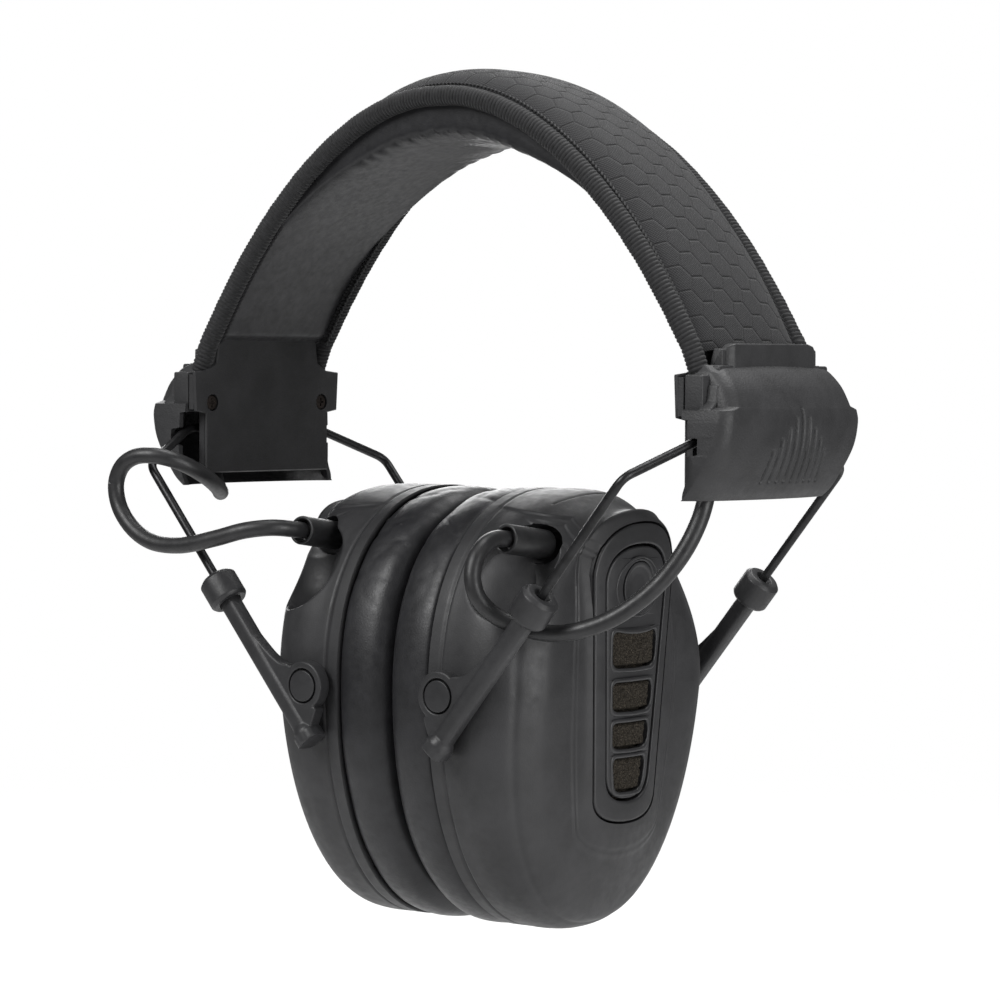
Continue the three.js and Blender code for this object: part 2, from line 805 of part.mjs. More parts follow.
function cupShellGeometry() {
  const outer = solid(loft(cupRings(0)));
  const mouth = cupRing(CUP.rimX, CUP.wall).map((p) => p.clone().setX(CUP.rimX - 2));
  const inner = solid(loft([mouth, ...cupRings(CUP.wall).slice(1)]));
  const wallRadii = SCOOP.radii.clone().addScalar(CUP.wall);
  const bowl = outer.intersect(solid(ellipsoid(SCOOP.centre, wallRadii)));
  const shell = outer.subtract(inner).add(bowl).subtract(solid(ellipsoid(SCOOP.centre, SCOOP.radii)));
  const reach = GROMMET.end.clone().sub(GROMMET.base).setLength(5);
  const cableHole = rod(
    GROMMET.base.clone().sub(reach), GROMMET.end.clone().add(reach), GROMMET.radius + GAP, 12,
  );
  const pinAxis = [-60, 60].map((y) => new THREE.Vector3(CUP.pivotX, y, CUP.pivotZ));
  const opening = plateYZ(panelOutline(-GAP), 20).translate(-10, 0, 0);
  const placed = opening.rotateY(PANEL.tilt).translate(PANEL.centreX, 0, PANEL.centreZ);
  const tools = [cableHole, rod(...pinAxis, PIN.shaftRadius + PIN.clearance, 10), placed];
  return geometryOf(tools.reduce((body, tool) => body.subtract(solid(tool)), shell));
}

function basePlateGeometry() {
  const inset = CUP.wall + GAP;
  const faces = [BASE_PLATE.frontX, BASE_PLATE.backX].map((x) => rimRing(x, inset, CUP.points));
  const axis = [BASE_PLATE.frontX - 3, BASE_PLATE.backX + 3].map((x) => {
    return new THREE.Vector3(x, 0, CUP.pivotZ);
  });
  return cut(loft(faces), rod(...axis, BASE_PLATE.holeRadius, 20));
}

function cushionGeometry() {
  const depth = CUSHION.backX - CUSHION.contactX;
  const profile = [
    [1, 1.2], [0.9, 0.5], [0.5, 0.2], [0.14, 1.3], [0, 4],
    [0, 13.4], [0.12, 16], [0.4, CUSHION.ringWidth], [1, CUSHION.ringWidth - 0.6],
  ];
  const rings = profile.map(([x, inset]) => {
    return rimRing(CUSHION.contactX + x * depth, inset, CUSHION.points);
  });
  return loftLoop(rings);
}

function earFoamGeometry() {
  const inset = CUSHION.ringWidth + EAR_FOAM.edgeGap;
  return loft([
    rimRing(EAR_FOAM.innerX, inset + 1, EAR_FOAM.points),
    rimRing(CUSHION.backX, inset, EAR_FOAM.points),
  ]);
}

function speakerGeometry() {
  const { radius, magnetRadius, rimDepth, depth } = SPEAKER;
  return turned([
    [0, 0], [magnetRadius + 2, 0], [radius, 0.8], [radius, rimDepth], [magnetRadius, depth], [0, depth],
  ], 20)
    .rotateZ(-Math.PI / 2)
    .translate(BASE_PLATE.backX + GAP, 0, CUP.pivotZ);
}

// A rounded outline that narrows downward, in from the bezel's outer edge by an inset.
function panelOutline(inset, shape = new THREE.Shape()) {
  const half = PANEL.height / 2 - inset;
  const top = PANEL.topWidth / 2 - inset;
  const bottom = PANEL.bottomWidth / 2 - inset;
  shape.moveTo(top, half - 9);
  shape.quadraticCurveTo(top * 0.92, half, 0, half);
  shape.quadraticCurveTo(-top * 0.92, half, -top, half - 9);
  shape.lineTo(-bottom, -half + 6);
  shape.quadraticCurveTo(-bottom * 0.94, -half, 0, -half);
  shape.quadraticCurveTo(bottom * 0.94, -half, bottom, -half + 6);
  shape.closePath();
  return shape;
}

function windowPath([z, height, topWidth, bottomWidth]) {
  const path = new THREE.Path();
  const [top, bottom, h, r] = [topWidth / 2, bottomWidth / 2, height / 2, 2];
  path.moveTo(-top + r, z + h);
  path.lineTo(top - r, z + h);
  path.quadraticCurveTo(top, z + h, top, z + h - r);
  path.lineTo(bottom, z - h + r);
  path.quadraticCurveTo(bottom, z - h, bottom - r, z - h);
  path.lineTo(-bottom + r, z - h);
  path.quadraticCurveTo(-bottom, z - h, -bottom, z - h + r);
  path.lineTo(-top, z + h - r);
  path.quadraticCurveTo(-top, z + h, -top + r, z + h);
  return path;
}

function bezelGeometry() {
  const ring = panelOutline(0);
  ring.holes.push(panelOutline(PANEL.bezelWidth, new THREE.Path()));
  return plateYZ(ring, PANEL.bezelDepth).translate(-PANEL.bezelDepth + 0.5, 0, 0);
}

function buttonHole() {
  const radius = BUTTON.radius + BUTTON.clearance;
  return Array.from({ length: 18 }, (_, i) => {
    const angle = (2 * Math.PI * i) / 18;
    return new THREE.Vector2(radius * Math.cos(angle), BUTTON.z + radius * Math.sin(angle));
  });
}

function panelGeometry() {
  const face = panelOutline(PANEL.bezelWidth + GAP);
  face.holes.push(...WINDOWS.map(windowPath));
  face.holes.push(new THREE.Path(buttonHole()));
  return plateYZ(face, PANEL.thickness).translate(-PANEL.thickness, 0, 0);
}

function windscreenGeometry() {
  const back = -PANEL.thickness - GAP;
  return box([back - PANEL.foamDepth, -9, -30.5], [back, 9, 12.5]);
}

function microphoneGeometry() {
  const front = -PANEL.thickness - PANEL.foamDepth - 2 * GAP;
  const { radius, depth } = MICROPHONE;
  return turned([[0, 0], [radius, 0], [radius, depth], [0, depth]], 14)
    .rotateZ(Math.PI / 2)
    .translate(front, 0, WINDOWS[0][0]);
}

function buttonGeometry() {
  const r = BUTTON.radius;
  return turned([[0, 0], [r, 0], [r, BUTTON.thickness - 0.4], [r - 0.4, BUTTON.thickness],
    [r - 1.4, BUTTON.thickness], [0, BUTTON.thickness - 0.7]], 18).rotateZ(-Math.PI / 2);
}

function grommetGeometry() {
  const stub = rod(GROMMET.base, GROMMET.end, GROMMET.radius, 14);
  const along = GROMMET.end.clone().sub(GROMMET.base).normalize();
  const flange = rod(
    GROMMET.base.clone().addScaledVector(along, -GROMMET.flangeDepth), GROMMET.base, GROMMET.radius, 14,
  );
  return join(stub, flange);
}

function addCup(side) {
  const add = (parent, name, geometry, material) => {
    return addMesh(parent, `${side.name}_${name}`, geometry, material, side.x);
  };
  add(group, 'cup_shell', cupShellGeometry(), MATERIALS.shell);
  add(group, 'base_plate', basePlateGeometry(), MATERIALS.shell);
  add(group, 'cushion', cushionGeometry(), MATERIALS.leatherette);
  add(group, 'ear_foam', earFoamGeometry(), MATERIALS.foam);
  add(group, 'speaker', speakerGeometry(), MATERIALS.steel);
  add(group, 'grommet', grommetGeometry(), MATERIALS.rubber);
  const face = addGroup(group, side.x * PANEL.centreX, 0, PANEL.centreZ, side.x * PANEL.tilt);
  add(face, 'bezel', bezelGeometry(), MATERIALS.gloss);
  add(face, 'panel', panelGeometry(), MATERIALS.gloss);
  add(face, 'windscreen', windscreenGeometry(), MATERIALS.foam);
  add(face, 'microphone', microphoneGeometry(), MATERIALS.steel);
  const button = add(face, 'power_button', buttonGeometry(), MATERIALS.gloss);
  button.position.set(-side.x * (BUTTON.thickness + 0.2), 0, BUTTON.z);
}

function addElectronics() {
  const boardShape = new THREE.BoxGeometry(BOARD.thickness, BOARD.width, BOARD.height);
  const board = addMesh(group, 'circuit_board', boardShape, MATERIALS.board);
  board.position.set(BOARD.x, 0, CUP.pivotZ);
  const { radius, halfLength, buttonRadius, buttonHeight } = BATTERY;
  const shoulder = halfLength - 1;
  const top = shoulder + buttonHeight;
  for (const end of ENDS) {
    const cell = turned([
      [0, -halfLength], [radius, -halfLength], [radius, shoulder],
      [buttonRadius, shoulder], [buttonRadius, top], [0, top],
    ], 14).rotateX(Math.PI / 2);
    const battery = addMesh(group, `${end.name}_battery`, cell, MATERIALS.battery);
    battery.position.set(-BATTERY.x, -end.y * BATTERY.y, CUP.pivotZ);
  }
}

// ---------------------------------------------------------------- cables

const RIGHT_CABLE = [
  [31.2, -34.4, -93.4], [30.9, -38, -93.2], [30.9, -42, -94.3], [30.9, -45.5, -97.2],
  [31.2, -47.3, -101.6], [32.5, -46.9, -106.3], [35.6, -44.3, -110.4], [40.7, -41, -113],
  [47.4, -39.4, -114.1], [54, -38.6, -113.4], [60.5, -35.8, -111], [66.1, -32.4, -107],
  [71, -29, -101.6], [74.9, -25.6, -94.8], [77.1, -22.6, -87.4], [77.9, -20.4, -80],
];

const LEFT_CABLE = [
  [-31.2, -34.4, -93.4], [-31.3, -38.3, -92.9], [-33.6, -43, -92.5], [-38.8, -46.8, -93.2],
  [-47, -49, -95.4], [-57, -50.3, -97.3], [-66.2, -50.8, -96.6], [-73, -50.7, -93],
  [-77.2, -50.5, -87.9], [-78.3, -50.3, -82.6], [-76.4, -50.1, -78.4], [-72.6, -49.6, -76.1],
  [-68, -48.3, -75.7], [-64, -45.3, -76.7], [-61.9, -40.6, -78.8], [-62, -35, -81.3],
  [-63.9, -29.4, -83.6], [-67.3, -24.3, -85.1], [-71.5, -20, -85.1], [-75.3, -17, -83],
  [-77.9, -15.5, -79.3], [-78.9, -15, -75],
];

function cableGeometry(points) {
  const path = new THREE.CatmullRomCurve3(points.map((p) => new THREE.Vector3(...p)), false, 'centripetal');
  return tube(path, CABLE.radius, CABLE.steps, CABLE.sides);
}

function addCables() {
  addMesh(group, 'right_cable', cableGeometry(RIGHT_CABLE), MATERIALS.rubber);
  addMesh(group, 'left_cable', cableGeometry(LEFT_CABLE), MATERIALS.rubber);
}

// ---------------------------------------------------------------- assembly

addHeadband();
for (const side of SIDES) {
  addHousing(side);
  addFork(side);
  addCup(side);
}
addElectronics();
addCables();

export default group;
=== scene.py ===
import json
import math

import bmesh
import bpy
import numpy as np
from mathutils import Matrix, Vector


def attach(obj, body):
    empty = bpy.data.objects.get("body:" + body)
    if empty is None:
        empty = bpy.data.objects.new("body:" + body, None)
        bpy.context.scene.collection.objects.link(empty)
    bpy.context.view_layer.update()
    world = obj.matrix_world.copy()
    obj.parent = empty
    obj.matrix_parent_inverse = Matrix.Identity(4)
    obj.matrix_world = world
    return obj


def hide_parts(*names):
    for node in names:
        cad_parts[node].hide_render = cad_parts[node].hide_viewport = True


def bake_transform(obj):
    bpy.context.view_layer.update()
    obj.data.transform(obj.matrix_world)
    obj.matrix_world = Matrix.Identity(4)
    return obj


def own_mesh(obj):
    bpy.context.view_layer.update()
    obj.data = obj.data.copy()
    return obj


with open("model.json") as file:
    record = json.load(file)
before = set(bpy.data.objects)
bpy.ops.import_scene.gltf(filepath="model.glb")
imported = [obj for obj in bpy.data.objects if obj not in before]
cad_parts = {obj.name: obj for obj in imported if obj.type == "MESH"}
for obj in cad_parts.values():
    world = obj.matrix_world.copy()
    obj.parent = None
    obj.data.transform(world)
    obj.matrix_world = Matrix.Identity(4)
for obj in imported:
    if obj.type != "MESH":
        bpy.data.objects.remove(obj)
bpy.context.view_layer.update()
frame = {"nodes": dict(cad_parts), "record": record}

# Every shape below is given in millimetres, in the frame of the CAD model, and scaled by MM.
# A side part is designed on the right side and mirrored in X; a front part is mirrored in Y.
MM = 0.001
SIDES = {"right": 1, "left": -1}
ENDS = {"front": 1, "rear": -1}
# Width across the flats of the hexagons on the band's cover.
HEX_SIZE = 6.6

# ---------------------------------------------------------------- camera

CAMERA_PLACE = (522.549, -671.540, -54.705)
CAMERA_AZIMUTH = math.radians(37.76)
CAMERA_PITCH = math.radians(-2.11)
CAMERA_ROLL = math.radians(0.29)
CAMERA_LENS = 125.57
SENSOR_WIDTH = 36


def add_camera():
    az, pitch = CAMERA_AZIMUTH, CAMERA_PITCH
    look = Vector((-math.sin(az) * math.cos(pitch), math.cos(az) * math.cos(pitch), math.sin(pitch)))
    flat_right = Vector((math.cos(az), math.sin(az), 0))
    right = flat_right * math.cos(CAMERA_ROLL) + flat_right.cross(look) * math.sin(CAMERA_ROLL)
    up = right.cross(look)
    data = bpy.data.cameras.new("camera")
    data.lens = CAMERA_LENS
    data.sensor_width = SENSOR_WIDTH
    camera = bpy.data.objects.new("camera", data)
    camera.rotation_mode = "QUATERNION"
    camera.rotation_quaternion = Matrix((right, up, -look)).transposed().to_quaternion()
    camera.location = Vector(CAMERA_PLACE) * MM
    bpy.context.scene.collection.objects.link(camera)
    bpy.context.scene.camera = camera


# ---------------------------------------------------------------- number helpers


def smoothstep(value, low=0.0, high=1.0):
    t = np.clip((value - low) / (high - low), 0, 1)
    return t * t * (3 - 2 * t)


def bell(value, width):
    return np.exp(-((value / width) ** 2))


NOISE_CELLS = 32
LATTICE = np.random.default_rng(11).uniform(-1, 1, (NOISE_CELLS,) * 3)


def noise(points, size):
    """Smooth noise from -1 to 1 whose features are about size mm wide."""
    p = np.asarray(points, float) / size
    cell = np.floor(p).astype(int)
    f = p - cell
    f = f * f * (3 - 2 * f)
    total = 0
    for corner in np.ndindex(2, 2, 2):
        weight = np.prod(np.where(corner, f, 1 - f), axis=-1)
        i, j, k = np.moveaxis((cell + corner) % NOISE_CELLS, -1, 0)
        total = total + weight * LATTICE[i, j, k]
    return total


def rounded(corners, radius, steps):
    """A line through corners, each inner corner rounded off over radius mm to either side."""
    corners = np.asarray(corners, float)
    line = [corners[0]]
    for before, corner, after in zip(corners, corners[1:], corners[2:]):
        back, on = before - corner, after - corner
        reach = [min(radius, np.linalg.norm(v) * 0.49) / max(np.linalg.norm(v), 1e-9) for v in (back, on)]
        start, end = corner + back * reach[0], corner + on * reach[1]
        for t in np.linspace(0, 1, steps + 1):
            line.append((1 - t) ** 2 * start + 2 * t * (1 - t) * corner + t * t * end)
    line.append(corners[-1])
    return np.array(line)


def rounded_loop(corners, radius, steps):
    corners = np.asarray(corners, float)
    middle = (corners[-1] + corners[0]) / 2
    return rounded([middle, *corners, middle], radius, steps)[:-1]


def resampled(line, count):
    line = np.asarray(line, float)
    along = np.r_[0, np.cumsum(np.linalg.norm(np.diff(line, axis=0), axis=1))]
    even = np.linspace(0, along[-1], count)
    return np.stack([np.interp(even, along, line[:, k]) for k in range(line.shape[1])], axis=1)


def spline(points, steps):
    """Centripetal Catmull-Rom curve through points, with steps samples between two of them."""
    p = np.asarray(points, float)
    p = np.vstack([2 * p[0] - p[1], p, 2 * p[-1] - p[-2]])
    line = []
    for a, b, c, d in zip(p, p[1:], p[2:], p[3:]):
        k0 = 0.0
        k1 = np.linalg.norm(b - a) ** 0.5
        k2 = k1 + np.linalg.norm(c - b) ** 0.5
        k3 = k2 + np.linalg.norm(d - c) ** 0.5
        for k in np.linspace(k1, k2, steps, endpoint=False):
            ab = ((k1 - k) * a + (k - k0) * b) / (k1 - k0)
            bc = ((k2 - k) * b + (k - k1) * c) / (k2 - k1)
            cd = ((k3 - k) * c + (k - k2) * d) / (k3 - k2)
            abc = ((k2 - k) * ab + (k - k0) * bc) / (k2 - k0)
            bcd = ((k3 - k) * bc + (k - k1) * cd) / (k3 - k1)
            line.append(((k2 - k) * abc + (k - k1) * bcd) / (k2 - k1))
    line.append(p[-2])
    return np.array(line)


# ---------------------------------------------------------------- shapes: each is (points, faces)


def lattice_faces(rows, cols, loop_rows=False):
    r = np.arange(rows if loop_rows else rows - 1)[:, None]
    c = np.arange(cols)[None, :]
    next_r, next_c = (r + 1) % rows, (c + 1) % cols
    quads = np.stack([r * cols + c, r * cols + next_c, next_r * cols + next_c, next_r * cols + c], axis=-1)
    return quads.reshape(-1, 4).tolist()


def skin(rings, loop=False):
    """A closed body over rings that have the same number of points each."""
    rings = np.asarray(rings, float)
    rows, cols = rings.shape[:2]
    faces = lattice_faces(rows, cols, loop)
    if not loop:
        faces.append(list(range(cols)))
        faces.append(list(range((rows - 1) * cols, rows * cols)))
    return rings.reshape(-1, 3), faces


def merged(shapes):
    points, faces, base = [], [], 0
    for shape_points, shape_faces in shapes:
        points.append(shape_points)
        faces += [[i + base for i in face] for face in shape_faces]
        base += len(shape_points)
    return np.vstack(points), faces


def mirrored(shape, x=1, y=1):
    return shape[0] * (x, y, 1), shape[1]


def frames_along(path):
    """Two directions across the path at each of its points, without twist."""
    tangents = np.gradient(path, axis=0)
    tangents /= np.linalg.norm(tangents, axis=1)[:, None]
    first = np.cross(tangents[0], (0, 0, 1) if abs(tangents[0][2]) < 0.9 else (0, 1, 0))
    sides = [first / np.linalg.norm(first)]
    for tangent in tangents[1:]:
        side = sides[-1] - tangent * (sides[-1] @ tangent)
        sides.append(side / np.linalg.norm(side))
    sides = np.array(sides)
    return sides, np.cross(tangents, sides)


def tube(path, radius, sides=24):
    """radius is one number, one for each point of the path, or one for each point and side."""
    across, up = frames_along(path)
    turn = np.linspace(0, 2 * np.pi, sides, endpoint=False)
    radius = np.broadcast_to(np.asarray(radius, float).reshape(-1, 1) if np.ndim(radius) < 2 else radius,
                             (len(path), sides))[..., None]
    return skin(path[:, None] + radius * (np.cos(turn)[:, None] * across[:, None]
                                          + np.sin(turn)[:, None] * up[:, None]))


def lathe(profile, base, axis, sides=64):
    """profile holds [radius, along] from base, turned about axis."""
    axis = np.asarray(axis, float) / np.linalg.norm(axis)
    across = np.cross(axis, (0, 0, 1) if abs(axis[2]) < 0.9 else (1, 0, 0))
    across /= np.linalg.norm(across)
    up = np.cross(axis, across)
    turn = np.linspace(0, 2 * np.pi, sides, endpoint=False)[None, :, None]
    radius, along = np.asarray(profile, float).T[:, :, None, None]
    radius = np.maximum(radius, 0.01)
    return skin(np.asarray(base) + along * axis + radius * (np.cos(turn) * across + np.sin(turn) * up))


def prism(outline, low, high, bevel, place):
    """A closed outline made solid between two heights, with rounded edges; place turns it to 3-D."""
    outline = np.asarray(outline, float)
    edge = np.roll(outline, -1, axis=0) - np.roll(outline, 1, axis=0)
    inward = np.stack([-edge[:, 1], edge[:, 0]], axis=1)
    inward /= np.linalg.norm(inward, axis=1)[:, None]
    area = np.sum(outline[:, 0] * np.roll(outline[:, 1], -1) - np.roll(outline[:, 0], -1) * outline[:, 1])
    inward *= 1 if area > 0 else -1
    rings = []
    for angle in np.linspace(0, np.pi / 2, 4):
        rings.append((outline + inward * bevel * (1 - math.sin(angle)), low + bevel * (1 - math.cos(angle))))
    rings += [(ring, low + high - height) for ring, height in reversed(rings)]
    return skin([place(ring[:, 0], ring[:, 1], np.full(len(ring), height)) for ring, height in rings])


def in_space(x, y, z):
    return np.stack(np.broadcast_arrays(x, y, z), axis=-1).astype(float)


# ---------------------------------------------------------------- objects


def as_object(name, shape, sharp=35, cloth=None):
    """cloth holds each point's place on the flat cloth, for the woven pattern."""
    mesh = bpy.data.meshes.new(name)
    mesh.from_pydata((np.asarray(shape[0]) * MM).tolist(), [], shape[1])
    if cloth is not None:
        places = mesh.attributes.new("cloth", "FLOAT_VECTOR", "POINT")
        places.data.foreach_set("vector", np.ravel(cloth).astype(np.float32))
    edit = bmesh.new()
    edit.from_mesh(mesh)
    bmesh.ops.recalc_face_normals(edit, faces=edit.faces)
    edit.to_mesh(mesh)
    edit.free()
    mesh.shade_smooth()
    mesh.set_sharp_from_angle(angle=math.radians(sharp))
    made = bpy.data.objects.new(name, mesh)
    bpy.context.scene.collection.objects.link(made)
    return made


def moulded(name, shapes, voxel, smoothing):
    """Fuses closed bodies that cross each other into one, with the soft inner corners of a moulding."""
    made = as_object(name, merged(shapes))
    remesh = made.modifiers.new("fuse", "REMESH")
    remesh.mode = "VOXEL"
    remesh.voxel_size = voxel * MM
    soften = made.modifiers.new("soften", "SMOOTH")
    soften.factor = 0.5
    soften.iterations = smoothing
    bpy.context.view_layer.update()
    final = bpy.data.meshes.new_from_object(made.evaluated_get(bpy.context.evaluated_depsgraph_get()))
    made.modifiers.clear()
    rough, made.data = made.data, final
    bpy.data.meshes.remove(rough)
    final.name = name
    final.shade_smooth()
    return made


def finished(made, material, nodes=(), body=None):
    """Gives a piece its finish and the CAD nodes it stands for, and lets it ride on its body."""
    made.data.materials.clear()
    made.data.materials.append(MATERIALS[material])
    if nodes:
        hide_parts(*nodes)
    if body:
        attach(made, body)


def add_piece(name, shape, sharp, material, node, body, x=1, y=1):
    """Makes a mirrored shape a piece with its finish, the CAD node it stands for and its body."""
    made = as_object(name, mirrored(shape, x, y), sharp)
    finished(made, material, [node], body)
    return made


# ---------------------------------------------------------------- materials


class Nodes:
    """Short calls for building one material's node tree."""

    def __init__(self, name, color, roughness, metallic=0.0, specular=0.5):
        self.material = bpy.data.materials.new(name)
        self.material.use_nodes = True
        self.tree = self.material.node_tree
        self.shader = self.tree.nodes["Principled BSDF"]
        self.shader.inputs["Base Color"].default_value = (*color, 1)
        self.shader.inputs["Roughness"].default_value = roughness
        self.shader.inputs["Metallic"].default_value = metallic
        self.shader.inputs["Specular IOR Level"].default_value = specular
        self.color = color
        self.place = self.tree.nodes.new("ShaderNodeTexCoord").outputs["Object"]
        self.height = None

    def add(self, kind, settings=None, **inputs):
        node = self.tree.nodes.new(kind)
        for key, value in (settings or {}).items():
            setattr(node, key, value)
        for key, value in inputs.items():
            socket = node.inputs[int(key[1:])] if key[0] == "i" and key[1:].isdigit() else node.inputs[key]
            if isinstance(value, bpy.types.NodeSocket):
                self.tree.links.new(value, socket)
            else:
                socket.default_value = value
        return node

    def noise(self, size, detail):
        return self.add("ShaderNodeTexNoise", Vector=self.place, Scale=1 / (size * MM),
                        Detail=detail).outputs["Fac"]

    def cells(self, size, feature="DISTANCE_TO_EDGE"):
        return self.add("ShaderNodeTexVoronoi", {"feature": feature}, Vector=self.place,
                        Scale=1 / (size * MM)).outputs["Distance"]

    def vector(self, operation, *inputs):
        return self.add("ShaderNodeVectorMath", {"operation": operation},
                        **{f"i{k}": value for k, value in enumerate(inputs)}).outputs

    def hexagons(self, place, size):
        """Distance to the nearest edge of a hexagon pattern, and which way that edge runs, from its sign."""
        half = (size / 2, size * math.sqrt(3) / 2, 1)
        low = tuple(-h for h in half)
        first, second = (self.vector("WRAP", self.vector("ADD", place, shift)[0], half, low)[0]
                         for shift in ((0, 0, 0), (half[0], half[1], 0)))
        nearer = self.math("LESS_THAN", self.vector("LENGTH", first)[1], self.vector("LENGTH", second)[1])
        apart = self.vector("SUBTRACT", first, second)[0]
        nearest = self.vector("ABSOLUTE", self.vector("MULTIPLY_ADD", apart, nearer, second)[0])[0]
        flat = self.vector("DOT_PRODUCT", nearest, (1, 0, 0))[1]
        slant = self.vector("DOT_PRODUCT", nearest, (0.5, math.sqrt(3) / 2, 0))[1]
        edge = self.math("SUBTRACT", size / 2, self.math("MAXIMUM", flat, slant))
        return edge, self.math("SUBTRACT", flat, slant)

    def ranged(self, value, low, high, to_low, to_high):
        made = self.add("ShaderNodeMapRange", Value=value)
        for key, number in (("From Min", low), ("From Max", high), ("To Min", to_low), ("To Max", to_high)):
            made.inputs[key].default_value = number
        return made.outputs["Result"]

    def math(self, operation, a, b=0.0):
        return self.add("ShaderNodeMath", {"operation": operation}, i0=a, i1=b).outputs[0]

    def tint(self, value, dark, light):
        """Base colour from dark to light times the plain one, by a value from 0 to 1."""
        mix = self.add("ShaderNodeMix", {"data_type": "RGBA"})
        self.tree.links.new(value, mix.inputs[0])
        mix.inputs[6].default_value = (*[c * dark for c in self.color], 1)
        mix.inputs[7].default_value = (*[c * light for c in self.color], 1)
        self.tree.links.new(mix.outputs[2], self.shader.inputs["Base Color"])

    def patches(self, size, dark, light, detail=4):
        self.tint(self.ranged(self.noise(size, detail), 0.35, 0.65, 0, 1), dark, light)

    def gloss(self, value, low, high):
        self.tree.links.new(self.ranged(value, 0.3, 0.7, low, high), self.shader.inputs["Roughness"])

    def bump(self, value, depth):
        """depth is the height in mm that a full step of value stands for."""
        made = self.add("ShaderNodeBump", Height=value, Strength=1.0, Distance=depth * MM)
        if self.height:
            self.tree.links.new(self.height, made.inputs["Normal"])
        self.height = made.outputs["Normal"]
        self.tree.links.new(self.height, self.shader.inputs["Normal"])


def moulded_plastic(name, color, roughness, grain, depth):
    """Grain is the width of the pebbles in mm."""
    m = Nodes(name, color, roughness)
    m.bump(m.cells(grain, "SMOOTH_F1"), depth)
    m.bump(m.noise(grain * 2.5, 3), depth * 0.8)
    m.patches(9, 0.82, 1.18)
    m.gloss(m.noise(2.2, 4), roughness - 0.06, roughness + 0.07)
    return m.material


def leatherette():
    m = Nodes("leatherette", (0.016, 0.016, 0.0178), 0.37, specular=0.45)
    m.bump(m.cells(0.75), 0.03)
    m.bump(m.noise(0.3, 3), 0.015)
    m.bump(m.noise(7, 2), 0.12)
    m.patches(5, 0.8, 1.2)
    m.gloss(m.noise(1.6, 3), 0.36, 0.5)
    return m.material


def woven_cover():
    m = Nodes("woven_cover", (0.013, 0.013, 0.0142), 0.82, specular=0.3)
    m.shader.inputs["Sheen Weight"].default_value = 0.16
    m.shader.inputs["Sheen Roughness"].default_value = 0.5
    cloth = m.add("ShaderNodeAttribute", {"attribute_name": "cloth"}).outputs["Vector"]
    threads = []
    for slant in (35, -55):
        turned = m.add("ShaderNodeVectorRotate", Vector=cloth, Angle=math.radians(slant)).outputs["Vector"]
        threads.append(m.add("ShaderNodeTexWave", {"wave_profile": "SIN"}, Vector=turned, Scale=0.55,
                             Distortion=0.6, Detail=1.0).outputs["Fac"])
    weave = m.math("MAXIMUM", threads[0], threads[1])
    edge, across = m.hexagons(cloth, HEX_SIZE)
    line = m.math("MULTIPLY", m.ranged(edge, 0.1, 0.34, 1, 0), m.ranged(across, -0.2, 0.2, 0.35, 1))
    m.bump(weave, 0.09)
    m.bump(line, -0.16)
    m.bump(m.noise(0.25, 2), 0.05)
    # Painted shade: the cloth is darker where the threads dip and much darker in the grooves of the hexagon
    # lines, following the same heights as their bumps; the noise in the next line adds random tone.
    painted_thread_groove_shade = m.math("MULTIPLY", m.ranged(weave, 0, 1, 0.35, 1), m.ranged(line, 0, 1, 1, 0.2))
    m.tint(m.math("MULTIPLY", painted_thread_groove_shade, m.ranged(m.noise(3, 4), 0.3, 0.7, 0.75, 1)), 0.3, 1.5)
    return m.material


def ribbed_piping():
    m = Nodes("ribbed_piping", (0.014, 0.014, 0.015), 0.68, specular=0.35)
    m.shader.inputs["Sheen Weight"].default_value = 0.12
    m.bump(m.noise(0.18, 3), 0.05)
    m.tint(m.ranged(m.noise(1.2, 4), 0.3, 0.7, 0, 1), 0.6, 1.4)
    return m.material


def open_foam():
    m = Nodes("open_cell_foam", (0.05, 0.043, 0.034), 0.95, specular=0.15)
    pores = m.cells(0.42, "F1")
    m.bump(pores, 0.35)
    fibres = m.ranged(m.noise(0.22, 3), 0.35, 0.68, 0, 1)
    m.tint(m.math("MULTIPLY", fibres, m.ranged(pores, 0, 0.7, 1.2, 0.2)), 0.25, 2.3)
    return m.material


def cable_rubber():
    m = Nodes("cable_rubber", (0.017, 0.017, 0.018), 0.42)
    m.bump(m.noise(0.5, 3), 0.02)
    m.bump(m.noise(6, 2), 0.25)
    m.patches(4, 0.85, 1.2, detail=3)
    m.gloss(m.noise(1.5, 3), 0.36, 0.5)
    return m.material


def metal(name, color, roughness, metallic):
    m = Nodes(name, color, roughness, metallic=metallic)
    m.bump(m.noise(0.35, 4), 0.015)
    m.patches(2.5, 0.75, 1.3)
    m.gloss(m.noise(0.8, 3), roughness - 0.08, roughness + 0.1)
    return m.material


def board_green():
    m = Nodes("circuit_board", (0.02, 0.1, 0.04), 0.45)
    tracks = m.ranged(m.cells(3.2), 0.02, 0.05, 1, 0)
    m.bump(tracks, 0.05)
    m.tint(tracks, 0.9, 1.8)
    return m.material


MATERIALS = {
    "woven_cover": woven_cover(),
    "leatherette": leatherette(),
    "ribbed_piping": ribbed_piping(),
    "black_spring_steel": metal("black_spring_steel", (0.02, 0.02, 0.021), 0.34, 0.55),
    "black_screw_steel": metal("black_screw_steel", (0.05, 0.04, 0.035), 0.4, 0.8),
    "housing_plastic": moulded_plastic("housing_plastic", (0.028, 0.028, 0.0295), 0.52, 0.42, 0.05),
    "arm_plastic": moulded_plastic("arm_plastic", (0.022, 0.022, 0.0235), 0.46, 0.5, 0.02),
    "soft_touch_plastic": moulded_plastic("soft_touch_plastic", (0.0235, 0.0235, 0.025), 0.5, 0.3, 0.018),
    "panel_plastic": moulded_plastic("panel_plastic", (0.021, 0.021, 0.0225), 0.42, 0.4, 0.01),
    "open_cell_foam": open_foam(),
    "cable_rubber": cable_rubber(),
    "circuit_board": board_green(),
    "metal_can": metal("metal_can", (0.35, 0.36, 0.37), 0.35, 1.0),
    "battery_jacket": metal("battery_jacket", (0.3, 0.31, 0.32), 0.4, 0.2),
}

